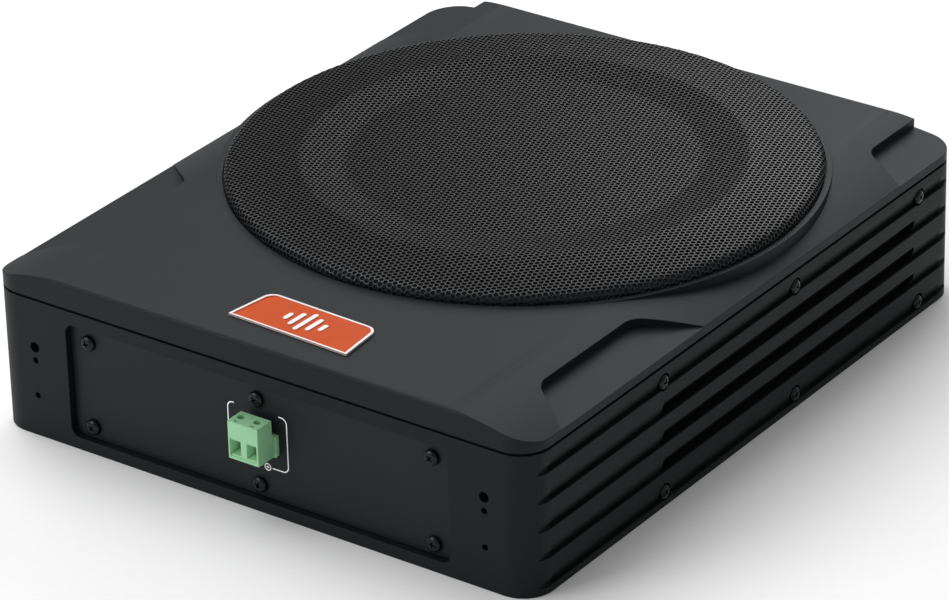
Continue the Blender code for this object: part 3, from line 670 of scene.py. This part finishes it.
grilleShape = {
    "pitch": 0.00228,
    "web": 0.00046,
    "turn": 16.2,
    "rows": 112,
    "sheetRadius": 0.1216,
    "thickness": 0.0008,
    "splits": (0.086, 0.106),
}
grilleProfile = (
    (0.0, 0.0759),
    (0.0695, 0.0759),
    (0.0705, 0.07592),
    (0.0725, 0.07605),
    (0.0875, 0.07738),
    (0.0890, 0.0775),
    (0.0905, 0.07748),
    (0.1030, 0.0766),
    (0.1140, 0.0755),
    (0.1162, 0.07520),
    (0.1174, 0.07480),
    (0.1183, 0.07405),
    (0.1188, 0.07310),
    (0.1189, 0.07200),
    (0.1189, 0.07030),
)


def alongProfile(distance):
    # point on the dome's section at a distance measured over its surface
    left = distance
    for (r0, h0), (r1, h1) in zip(grilleProfile, grilleProfile[1:]):
        span = math.hypot(r1 - r0, h1 - h0)
        if left <= span:
            share = left / span
            return r0 + (r1 - r0) * share, h0 + (h1 - h0) * share
        left -= span
    return grilleProfile[-1]


def perforatedSheet():
    # a fan cut into small triangles, merged into a honeycomb, each cell then inset to leave a web
    clearSelection()
    step = grilleShape["pitch"] / math.sqrt(3)
    rows = grilleShape["rows"]
    bpy.ops.mesh.primitive_circle_add(
        vertices=6, radius=step * rows, fill_type="TRIFAN", location=(0, 0, 0)
    )
    sheet = bpy.context.object
    editAll(sheet, "EDGE")
    bpy.ops.mesh.subdivide(number_cuts=1)  # in two goes, because one is limited to 100 cuts
    bpy.ops.mesh.subdivide(number_cuts=rows // 2 - 1)
    leaveEdit()
    outside = grilleShape["sheetRadius"] + step
    selectFaces(sheet, lambda face: face.center.xy.length > outside)
    bpy.ops.mesh.delete(type="FACE")
    leaveEdit()
    first = Vector((0, step))  # two steps of the triangle lattice; every third vertex is a cell's middle
    second = Matrix.Rotation(math.radians(60), 2) @ first
    basis = Matrix((first, second)).transposed().inverted()
    pick(sheet)
    bpy.ops.object.mode_set(mode="EDIT")
    bpy.ops.mesh.select_mode(type="VERT")
    bpy.ops.mesh.select_all(action="DESELECT")
    bpy.ops.object.mode_set(mode="OBJECT")
    for vertex in sheet.data.vertices:
        across, up = (round(value) for value in basis @ vertex.co.xy)
        vertex.select = (across - up) % 3 == 0
    bpy.ops.object.mode_set(mode="EDIT")
    bpy.ops.mesh.dissolve_verts()
    leaveEdit()
    cellArea = 1.5 * math.sqrt(3) * step**2
    isCell = lambda face: len(face.vertices) == 6 and abs(face.area / cellArea - 1) < 0.02
    selectFaces(sheet, lambda face: not isCell(face))
    bpy.ops.mesh.delete(type="FACE")
    bpy.ops.mesh.select_all(action="SELECT")
    bpy.ops.mesh.inset(thickness=grilleShape["web"] / 2, use_individual=True, use_boundary=True)
    leaveEdit()
    holeArea = cellArea * (1 - grilleShape["web"] / grilleShape["pitch"]) ** 2
    selectFaces(sheet, lambda face: len(face.vertices) == 6 and abs(face.area / holeArea - 1) < 0.05)
    bpy.ops.mesh.delete(type="FACE")
    leaveEdit()
    sheet.rotation_euler.z = math.radians(grilleShape["turn"] + 30)
    return freeze(sheet)


def domed(sheet):
    # presses the flat sheet over the dome and its skirt without stretching the holes
    for vertex in sheet.data.vertices:
        distance = vertex.co.xy.length
        radius, height = alongProfile(distance)
        if distance > 1e-6:
            vertex.co.x *= radius / distance
            vertex.co.y *= radius / distance
        vertex.co.z = height
        vertex.co.y += body["driverY"]
    return sheet


def makeGrille():
    sheet = domed(perforatedSheet())
    axis = Vector((0, body["driverY"]))
    parts = []
    for split in grilleShape["splits"]:
        selectFaces(sheet, lambda face: (face.center.xy - axis).length < split)
        bpy.ops.mesh.separate(type="SELECTED")
        leaveEdit()
        parts.append([o for o in bpy.context.selected_objects if o is not sheet][0])
    parts.append(sheet)
    for obj, name in zip(parts, ("grilleDish", "grilleDome", "grilleRim")):
        editAll(obj)
        bpy.ops.mesh.normals_make_consistent(inside=False)
        leaveEdit()
        if sum(face.normal.z for face in obj.data.polygons) < 0:
            editAll(obj)
            bpy.ops.mesh.flip_normals()
            leaveEdit()
        pick(obj)
        bpy.ops.object.modifier_add(type="SOLIDIFY")
        obj.modifiers[-1].thickness = grilleShape["thickness"]
        obj.modifiers[-1].offset = -1
        bpy.ops.object.modifier_apply(modifier=obj.modifiers[-1].name)
        replaced = ["grille"] if obj is parts[0] else []
        dress(obj, name, grilleCoat, "enclosure", replaced)


print("stage: grille")
makeGrille()


badgeShape = {
    "left": -0.0199,
    "right": 0.0368,
    "front": -0.1373,
    "rear": -0.1152,
    "low": 0.0716,
    "rim": 0.0725,
    "field": 0.0721,
    "border": 0.0007,
    "turn": -2.2,
    "barMiddle": (0.0084, -0.1262, 0),
    "barReach": (0.0026, 0.0050, 0.0072, 0.0050, 0.0026),
    "barPitch": 0.0042,
    "barHalf": 0.0010,
    "barRound": 0.00095,
}


def badgeOutline(inset):
    left = badgeShape["left"] + inset * 1.6
    right = badgeShape["right"] - inset * 1.6
    front = badgeShape["front"] + inset
    rear = badgeShape["rear"] - inset
    corner = 0.0050 - inset
    points = [(left, front), (right, front)]
    for centre, first in ((right - 0.0020 - corner, 0), (left + 0.0020 + corner, 90)):
        for step in range(9):
            angle = math.radians(first + 90 * step / 8)
            points.append((centre + corner * math.cos(angle), rear - corner + corner * math.sin(angle)))
    return points


def badgeFinish():
    # silver border and bars, orange lacquer between them
    look = Look("badgeLacquer")
    z = look.axes()[2]
    cloud = look.noise(120, 3)
    raised = (z - badgeShape["field"]).size() > 0.00012
    orange = look.mix(cloud, (0.50, 0.055, 0.003), (0.58, 0.075, 0.005))
    silver = look.mix(cloud, (0.78, 0.74, 0.72), (0.90, 0.88, 0.87))
    tone = look.mix(raised, orange, silver)
    look.set(Base_Color=tone, Roughness=raised * 0.08 + 0.26, Metallic=raised * 0.35)
    look.shader.inputs["Specular IOR Level"].default_value = 0.2
    look.bump(cloud, 0.05, 0.0001, 0.0002)
    return look.material


def makeBadge():
    flat = [(x, y, badgeShape["low"]) for x, y in badgeOutline(0)]
    badge = extruded(flat, (0, 0, badgeShape["rim"] - badgeShape["low"]))
    inner = [(x, y, badgeShape["field"]) for x, y in badgeOutline(badgeShape["border"])]
    combine(badge, [extruded(inner, (0, 0, 0.003))])
    middle = Vector(badgeShape["barMiddle"])
    half = badgeShape["barHalf"]
    bars = []
    for index, reach in enumerate(badgeShape["barReach"]):
        x = middle.x + (index - 2) * badgeShape["barPitch"]
        low = (x - half, middle.y - reach, badgeShape["field"] - 0.0003)
        bar = block(low, (x + half, middle.y + reach, badgeShape["rim"]))
        bars.append(roundEdges(bar, along(2), badgeShape["barRound"], 5))
    for bar in bars:
        combine(badge, [bar], "UNION")
    editAll(badge)
    turn = -math.radians(badgeShape["turn"])
    bpy.ops.transform.rotate(value=turn, orient_axis="Z", center_override=middle)
    leaveEdit()
    smooth(badge, 30)
    return dress(badge, "badgePlate", badgeFinish(), "enclosure", ["badge"])


print("stage: badge")
makeBadge()


panelShape = {
    "half": 0.0897,
    "low": 0.0053,
    "high": 0.0537,
    "corner": 0.0037,
    "face": 0.147,
    "back": 0.145,
    "screwHole": 0.0018,
}
printShape = {
    "centre": (-0.0004, 0.0302),
    "half": (0.0139, 0.0116),
    "corner": 0.0025,
    "line": 0.00024,
    "mark": (0.0037, 0.0186),
    "markRadius": 0.0014,
    "markLine": 0.00018,
    "plusReach": 0.00075,
}


def panelFinish(name, printed):
    # satin paint, and on the front one a white printed frame with a polarity mark
    look = Look(name)
    x, y, z = look.axes()
    cloud = look.noise(9, 3)
    speck = look.noise(5200, 1)
    peel = look.noise(1500, 2)
    tone = look.mix(cloud * 0.7 + speck * 0.3, (0.0062, 0.0094, 0.0106), (0.0084, 0.0120, 0.0134))
    rough = cloud * 0.10 + speck * 0.06 + 0.42
    if printed:
        (centreX, centreZ), (halfX, halfZ) = printShape["centre"], printShape["half"]
        corner = printShape["corner"]
        pastX = (x - centreX).size() - (halfX - corner)
        pastZ = (z - centreZ).size() - (halfZ - corner)
        across, up = pastX.above(0.0), pastZ.above(0.0)
        outside = (across * across + up * up) ** 0.5
        inside = pastX.above(pastZ).below(0.0)
        line = (outside + inside - corner).size() < printShape["line"]
        upper = (z > 0.036) * (x > -0.0112) * (x < 0.0098)  # the gaps at the top and the foot
        lower = (z < 0.024) * (x > 0.0012) * (x < 0.0060)
        line = line * (1 - upper) * (1 - lower)
        markX, markZ = printShape["mark"]
        dx, dz = x - markX, z - markZ
        thin = printShape["markLine"]
        ring = ((dx * dx + dz * dz) ** 0.5 - printShape["markRadius"]).size() < thin
        reach = dx.size().above(dz.size()) < printShape["plusReach"]
        plus = (dx.size().below(dz.size()) < thin) * reach
        ink = (line + ring + plus).below(1.0) * (y < -0.1469)
        tone = look.mix(ink, tone, (0.95, 0.95, 0.94))
        rough = rough + ink * 0.05
    look.set(Base_Color=tone, Roughness=rough)
    look.shader.inputs["Specular IOR Level"].default_value = 0.2
    look.bump(peel * 0.6 + speck * 0.4, 0.25, 0.00012, 0.0003)
    return look.material


def makePanel(name, side, openings, material, replaced):
    ends = sorted((side * panelShape["back"], side * panelShape["face"]))
    half = panelShape["half"]
    panel = block((-half, ends[0], panelShape["low"]), (half, ends[1], panelShape["high"]))
    roundEdges(panel, along(1), panelShape["corner"], 5)
    tools = list(openings)
    for x in endScrewX:
        for z in endScrewZ:
            place = (x, side * panelShape["face"], z)
            tools.append(turnedRod(panelShape["screwHole"], -0.01, 0.01, place, "Y", 16))
    combine(panel, tools)
    smooth(panel, 28)
    return dress(panel, name, material, "enclosure", [replaced])


control = {
    "z": 0.029,
    "powerX": 0.054,
    "polePitch": 0.0105,
    "fuseX": 0.024,
    "jackX": -0.014,
    "gainX": -0.034,
    "lowpassX": -0.052,
    "phaseX": -0.068,
}


def rearOpenings():
    # square cut-outs as half width, bottom and top about the control line, then the round ones
    z, face = control["z"], panelShape["face"]
    openings = []
    cutOuts = (
        (control["powerX"], 0.0165, -0.0080, 0.0080),
        (control["fuseX"], 0.0085, -0.0055, 0.0055),
        (control["phaseX"], 0.0050, -0.0067, -0.0013),
    )
    for x, half, low, high in cutOuts:
        openings.append(block((x - half, 0.14, z + low), (x + half, 0.15, z + high)))
    for up in (-0.0075, 0.0075):
        openings.append(turnedRod(0.0042, -0.006, 0.006, (control["jackX"], face, z + up), "Y", 32))
    for x in (control["gainX"], control["lowpassX"]):
        openings.append(turnedRod(0.0037, -0.006, 0.006, (x, face, z), "Y", 28))
    openings.append(turnedRod(0.0018, -0.006, 0.006, (control["phaseX"], face, z + 0.009), "Y", 20))
    return openings


print("stage: panels")
plugCentre = 0.0015
frontOpening = block((plugCentre - 0.0081, -0.15, 0.0245), (plugCentre + 0.0081, -0.14, 0.0341))
makePanel("frontPanelPlate", -1, [frontOpening], panelFinish("frontPanelPaint", True), "front_panel")
makePanel("rearPanelPlate", 1, rearOpenings(), panelFinish("rearPanelPaint", False), "rear_panel")


screwShape = {
    "endHead": 0.0033,
    "sideHead": 0.0029,
    "height": 0.0019,
    "shank": 0.0015,
    "steps": 36,
    "lift": 0.0003,
    "leftSink": 0.0008,
}


def panScrew(length, head):
    # a pan head facing -Y with a cross recess, its seat in the plane y = 0
    height, shank = screwShape["height"], screwShape["shank"]
    profile = [
        (0, length),
        (shank * 0.4, length - 0.0002),
        (shank, length - 0.0014),
        (shank, 0),
        (head * 0.97, 0),
        (head, -0.0002),
        (head, -height * 0.36),
        (head * 0.95, -height * 0.58),
        (head * 0.82, -height * 0.78),
        (head * 0.60, -height * 0.92),
        (head * 0.30, -height * 0.99),
        (0, -height),
    ]
    screw = spun(profile, (0, 0, 0), "Y", screwShape["steps"])
    arms = []
    for long, thin in ((0.0017, 0.00036), (0.00036, 0.0017)):
        arm = block((-long, -height - 0.0006, -thin), (long, -height * 0.30, thin))
        selectFaces(arm, lambda face: face.normal.y > 0.9)
        bpy.ops.transform.resize(value=(0.55, 1, 0.55), center_override=(0, 0, 0))
        arms.append(leaveEdit())
    for arm in arms:
        combine(screw, [arm])
    return smooth(screw, 35)


def seatedScrew(pattern, name, place, facing, roll, replaced):
    # turns a copy so that its head faces outwards, then rolls its slot
    pick(pattern)
    bpy.ops.object.duplicate()
    screw = bpy.context.object
    turn = {"-Y": 0, "+Y": math.pi, "+X": math.pi / 2, "-X": -math.pi / 2}[facing]
    rolled = Matrix.Rotation(math.radians(roll), 4, "Y")
    screw.matrix_world = Matrix.Translation(place) @ Matrix.Rotation(turn, 4, "Z") @ rolled
    return dress(screw, name, screwBlack, "enclosure", replaced)


def makeScrews():
    wide = panScrew(0.0060, screwShape["endHead"])
    small = panScrew(0.0060, screwShape["sideHead"])
    number = 0
    for x in endScrewX:
        for z in endScrewZ:
            number += 1
            face = panelShape["face"] + screwShape["lift"]
            roll = (number * 37) % 90
            seatedScrew(wide, f"frontScrew{number}", (x, -face, z), "-Y", roll, [f"front_screw_{number}"])
            seatedScrew(wide, f"rearScrew{number}", (x, face, z), "+Y", roll + 20, [])
    number = 0
    for y in sideScrewY:
        for z in sideScrewZ:
            number += 1
            face = body["halfWidth"] - caseShape["seatDepth"] + screwShape["lift"]
            roll = (number * 53) % 90
            seatedScrew(small, f"rightScrew{number}", (face, y, z), "+X", roll, [f"side_screw_{number}"])
            sunk = screwShape["leftSink"] - face
            seatedScrew(small, f"leftScrew{number}", (sunk, y, z), "-X", roll + 15, [])
    for pattern in (wide, small):
        bpy.data.objects.remove(pattern, do_unlink=True)


print("stage: screws")
makeScrews()


plugShape = {
    "centre": plugCentre,
    "half": 0.0071,
    "low": 0.0253,
    "high": 0.0411,
    "front": -0.1585,
    "back": -0.1489,
    "pitch": 0.00762,
}


def makePlug():
    c, half = plugShape["centre"], plugShape["half"]
    low, high = plugShape["low"], plugShape["high"]
    front, back = plugShape["front"], plugShape["back"]
    plug = block((c - half, front, low), (c + half, back, high))
    roundEdges(plug, along(2), 0.0003, 2)
    tongue = block((c - half + 0.0008, back - 0.001, 0.0263), (c + half - 0.0008, -0.1402, 0.0323))
    combine(plug, [tongue], "UNION")
    inset = half - 0.0010
    shelf = block((c - inset, front - 0.001, low + 0.0011), (c + inset, front + 0.0004, low + 0.0088))
    combine(plug, [shelf])
    for side in (-0.5, 0.5):
        x = c + side * plugShape["pitch"]
        funnel = block((x - 0.0027, front - 0.001, 0.0269), (x + 0.0027, front + 0.0046, 0.0337))
        selectFaces(funnel, lambda face: face.normal.y > 0.9)
        bpy.ops.transform.resize(value=(0.62, 1, 0.62), center_override=(x, front + 0.0046, 0.0297))
        leaveEdit()
        combine(plug, [funnel])
        combine(plug, [turnedRod(0.0016, -0.0038, 0.001, (x - 0.0003, front + 0.0050, high), "Z", 28)])
        notchLow, notchHigh = (x - 0.0010, front + 0.0011), (x + 0.0010, front + 0.0020)
        combine(plug, [block((*notchLow, high - 0.0012), (*notchHigh, high + 0.001))])
    step = block((c - half - 0.001, back - 0.0009, 0.0352), (c + half + 0.001, back + 0.001, high + 0.001))
    combine(plug, [step])
    smooth(plug, 25)
    return dress(plug, "terminalPlug", greenBody, "plug", ["terminal_plug"])


def makeClampScrews():
    # slotted clamp screws deep in the two holes, and the steel cages behind the funnels
    front = plugShape["front"]
    for number, side in enumerate((-0.5, 0.5), 1):
        x = plugShape["centre"] + side * plugShape["pitch"]
        top = plugShape["high"] - 0.0026
        screw = spun(
            [(0, -0.0010), (0.0014, -0.0010), (0.0014, 0.0004), (0.0012, 0.0006), (0, 0.0006)],
            (x - 0.0003, front + 0.0050, top),
            "Z",
            24,
        )
        slotLow = (x - 0.0018, front + 0.0048, top + 0.0001)
        slotHigh = (x + 0.0012, front + 0.0052, top + 0.0010)
        combine(screw, [block(slotLow, slotHigh)])
        smooth(screw, 35)
        dress(screw, f"clampScrew{number}", platedSteel, "plug")
        cage = block((x - 0.0015, front + 0.0042, 0.0277), (x + 0.0015, front + 0.0045, 0.0317))
        combine(cage, [block((x - 0.0010, front + 0.003, 0.0283), (x + 0.0010, -0.15, 0.0311))])
        dress(cage, f"wireCage{number}", platedSteel, "plug")


def makeSocket():
    c, half = plugShape["centre"], plugShape["half"]
    socket = block((c - half - 0.0007, -0.1486, 0.0248), (c + half + 0.0007, -0.1379, 0.0338))
    roundEdges(socket, along(1), 0.0004, 2)
    combine(socket, [block((c - half + 0.0004, -0.15, 0.0259), (c + half - 0.0004, -0.1394, 0.0327))])
    for side in (-1, 1):
        x = c + side * (half + 0.0007)
        ends = sorted((x, x - side * 0.0003))
        combine(socket, [block((ends[0] - 0.0001, -0.15, 0.0285), (ends[1] + 0.0001, -0.1482, 0.0300))])
    smooth(socket, 25)
    return dress(socket, "terminalSocket", greenBody, "enclosure", ["terminal_header"])


print("stage: terminal")
makePlug()
makeClampScrews()
makeSocket()


def makeKnob(name, x, rider, replaced):
    z, face = control["z"], panelShape["face"]
    profile = [
        (0, 0.0024),
        (0.0056, 0.0022),
        (0.0058, 0.0024),
        (0.0058, 0.0043),
        (0.0055, 0.0046),
        (0.0050, 0.0112),
        (0.0047, 0.0118),
        (0.0040, 0.0120),
        (0.0034, 0.0117),
        (0, 0.0116),
    ]
    knob = spun(profile, (x, face, z), "Y", 64)
    flutes = []
    count, reach = 18, 0.00565
    for step in range(count):
        angle = 2 * math.pi * (step + 0.5) / count
        place = (x + reach * math.sin(angle), face, z + reach * math.cos(angle))
        flutes.append(turnedRod(0.00045, 0.0050, 0.0130, place, "Y", 10))
    combine(knob, flutes)
    combine(knob, [block((x - 0.0003, 0.1583, z + 0.0012), (x + 0.0003, 0.1600, z + 0.0060))])
    smooth(knob, 30)
    return dress(knob, name, blackBody, rider, [replaced])


def makeLineJack(name, up, material, replaced):
    # a flanged barrel with a shell and a deep throat, one finish for both
    place = (control["jackX"], panelShape["face"], control["z"] + up)
    profile = [
        (0.0016, -0.0060),
        (0.0038, -0.0060),
        (0.0038, 0.0003),
        (0.0051, 0.0003),
        (0.0053, 0.0005),
        (0.0053, 0.0016),
        (0.0050, 0.0018),
        (0.0042, 0.0019),
        (0.0041, 0.0086),
        (0.0039, 0.0090),
        (0.0035, 0.0090),
        (0.0033, 0.0087),
        (0.0033, 0.0005),
        (0.0016, 0.0005),
    ]
    jack = spun(profile, place, "Y", 48, True)
    smooth(jack, 30)
    return dress(jack, name, material, "enclosure", [replaced])


def makePowerTerminal():
    x0, z = control["powerX"], control["z"]
    terminal = block((x0 - 0.0162, 0.1385, 0.0215), (x0 + 0.0162, 0.1545, 0.0365))
    roundEdges(terminal, along(1), 0.0008, 3)
    for pole in (-1, 0, 1):
        x = x0 + pole * control["polePitch"]
        combine(terminal, [block((x - 0.0043, 0.1495, 0.0232), (x + 0.0043, 0.1600, 0.0400))])
    smooth(terminal, 25)
    dress(terminal, "powerTerminal", blackBody, "enclosure", ["power_terminal"])
    for number, pole in enumerate((-1, 0, 1), 1):
        x = x0 + pole * control["polePitch"]
        plate = block((x - 0.0040, 0.1491, 0.0238), (x + 0.0040, 0.1498, 0.0362))
        screw = spun(
            [(0, 0.0), (0.0030, 0.0), (0.0031, 0.0002), (0.0031, 0.0017), (0.0026, 0.0022), (0, 0.0023)],
            (x, 0.1496, z),
            "Y",
            32,
        )
        slot = block((x - 0.0035, 0.1511, z - 0.0003), (x + 0.0035, 0.1530, z + 0.0003))
        combine(screw, [slot])
        combine(plate, [screw], "UNION")
        smooth(plate, 30)
        dress(plate, f"poleScrew{number}", platedSteel, "enclosure")


def makeFuse():
    x0, z = control["fuseX"], control["z"]
    fuse = block((x0 - 0.0095, 0.1494, z - 0.0026), (x0 + 0.0095, 0.1574, z + 0.0026))
    roundEdges(fuse, along(1), 0.0006, 3)
    groove = block((x0 - 0.0060, 0.1566, z - 0.0012), (x0 + 0.0060, 0.1580, z + 0.0012))
    combine(fuse, [groove])
    waist = block((x0 - 0.0062, 0.1405, z - 0.0026), (x0 + 0.0062, 0.1500, z + 0.0026))
    combine(fuse, [waist], "UNION")
    smooth(fuse, 30)
    return dress(fuse, "bladeFuse", fuseAmber, "fuse_link", ["fuse"])


print("stage: rear controls")
makeKnob("gainKnob", control["gainX"], "gain", "gain_knob")
makeKnob("lowpassKnob", control["lowpassX"], "lowpass", "lowpass_knob")
makeLineJack("lineJackLeft", 0.0075, jackWhite, "line_jack_left")
makeLineJack("lineJackRight", -0.0075, jackRed, "line_jack_right")
makePowerTerminal()
makeFuse()


flexShape = {
    "rollMiddle": 0.0870,
    "rollHeight": 0.0652,
    "rollRadius": 0.0060,
    "rubberThickness": 0.0008,
    "spiderInner": 0.0190,
    "spiderOuter": 0.0585,
    "spiderWaves": 4,
    "clothThickness": 0.0005,
}


def makeSurround():
    # a half roll of rubber, its inner lip at the cone and its outer lip on the basket
    middle, height, radius = flexShape["rollMiddle"], flexShape["rollHeight"], flexShape["rollRadius"]
    upper = [(0.0785, 0.0643), (0.0800, 0.0643), (0.0807, 0.0646)]
    lower = [(0.0785, 0.0635), (0.0806, 0.0635), (0.0814, 0.0640)]
    for step in range(1, 16):
        angle = math.pi - math.pi * step / 16
        inner = radius - flexShape["rubberThickness"]
        upper.append((middle + radius * math.cos(angle), height + radius * math.sin(angle)))
        lower.append((middle + inner * math.cos(angle), height + inner * math.sin(angle)))
    upper += [(0.0933, 0.0664), (0.0974, 0.0664)]
    lower += [(0.0925, 0.0656), (0.0974, 0.0656)]
    surround = spun(upper + lower[::-1], (0, body["driverY"], 0), "Z", 96, True)
    smooth(surround, 40)
    flex(surround, "surroundRoll", rubber, "surround")


def makeSpider():
    # corrugated cloth, its inner edge at the coil and its outer edge on the basket
    inner, outer = flexShape["spiderInner"], flexShape["spiderOuter"]
    steps = flexShape["spiderWaves"] * 8
    low, high = [], []
    for step in range(steps + 1):
        share = step / steps
        radius = inner + (outer - inner) * share
        height = 0.0382 + 0.0038 * (1 - share) + 0.0007 * math.sin(2 * math.pi * step / 8)
        low.append((radius, height))
        high.append((radius, height + flexShape["clothThickness"]))
    spider = spun(low + high[::-1], (0, body["driverY"], 0), "Z", 72, True)
    smooth(spider, 50)
    flex(spider, "spiderRing", cupCloth, "spider")


def flex(obj, name, material, replaced):
    # names a piece that spans the enclosure and the cone, gives it its finish and bakes its place; it is
    # attached to no body
    freeze(obj)
    obj.name = name
    obj.data.name = name
    obj.data.materials.clear()
    obj.data.materials.append(material)
    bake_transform(obj)
    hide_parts(replaced)


print("stage: surround and spider")
makeSurround()
makeSpider()

print("stage: kept nodes")
paint(baseCoat, "base_plate")
paint(screenCoat, "vent_screen_left", "vent_screen_right")
paint(caseCoat, "chamber_partition")
paint(screwBlack, "case_screw_1", "case_screw_2", "case_screw_3", "case_screw_4")
paint(rubber, "lid_seal", "driver_gasket")
paint(conePaper, "cone", "dust_cap")
paint(copperWire, "voice_coil", "choke_coil")
paint(barAluminium, "heatsink_bar", "voice_coil_former")
paint(platedSteel, "top_plate", "back_plate")
paint(ferrite, "magnet")
paint(basketPaint, "driver_basket")
paint(boardGreen, "amp_board", "input_board", "control_board")
paint(blackBody, "power_transistor_1", "power_transistor_2", "fuse_holder", "phase_switch")
paint(sleeveBlue, "capacitor_1", "capacitor_2")
paint(ledBlue, "power_led")


studio = {
    "cameraPlace": (1.0737, -1.4748, 0.9809),
    "lens": 197.3,
    "world": 0.38,
    "overheadPower": 40,
    "backPower": 16,
    "frontPower": 15,
}


def floorFinish():
    look = Look("paperFloor")
    grain = look.noise(300, 3)
    tone = look.mix(grain, (0.90, 0.90, 0.90), (0.93, 0.93, 0.93))
    look.set(Base_Color=tone, Roughness=grain * 0.1 + 0.8)
    return look.material


def makeFloor():
    clearSelection()
    bpy.ops.mesh.primitive_plane_add(size=40, location=(0, 0, -0.0002))
    floor = bpy.context.object
    floor.name = "floor"
    floor.data.materials.append(floorFinish())


def addLight(name, place, target, size, power):
    clearSelection()
    bpy.ops.object.light_add(type="AREA", location=place)
    lamp = bpy.context.object
    lamp.name = name
    lamp.data.shape = "RECTANGLE"
    lamp.data.size, lamp.data.size_y = size
    lamp.data.energy = power
    aim = Vector(target) - Vector(place)
    lamp.rotation_euler = aim.to_track_quat("-Z", "Y").to_euler()


def makeStudio():
    world = bpy.data.worlds.new("studio")
    scene.world = world
    world.use_nodes = True
    background = world.node_tree.nodes["Background"]
    background.inputs["Color"].default_value = (1, 1, 1, 1)
    background.inputs["Strength"].default_value = studio["world"]
    addLight("overheadPanel", (-1.1, 0.3, 2.0), (0, 0, 0), (1.8, 2.4), studio["overheadPower"])
    addLight("backPanel", (-0.45, 2.0, 1.2), (0, 0, 0.05), (1.6, 0.9), studio["backPower"])
    addLight("frontFill", (-1.0, -1.6, 0.9), (0, 0, 0.03), (1.0, 1.0), studio["frontPower"])
    scene.view_settings.view_transform = "Standard"


def makeCamera():
    clearSelection()
    bpy.ops.object.camera_add(location=studio["cameraPlace"])
    camera = bpy.context.object
    camera.name = "studioCamera"
    camera.data.lens = studio["lens"]
    camera.data.sensor_width = 36
    camera.data.clip_start = 0.05
    camera.data.clip_end = 100
    spin = Vector((1.9846, 0.6194, -0.4064))  # turns the frame's axes into right, down and forward
    rows = Matrix.Rotation(spin.length, 3, spin.normalized())
    facing = Matrix((rows[0], -rows[1], -rows[2])).transposed().to_4x4()
    camera.matrix_world = Matrix.Translation(studio["cameraPlace"]) @ facing
    scene.camera = camera


print("stage: studio")
makeFloor()
makeStudio()
makeCamera()

bpy.context.view_layer.update()
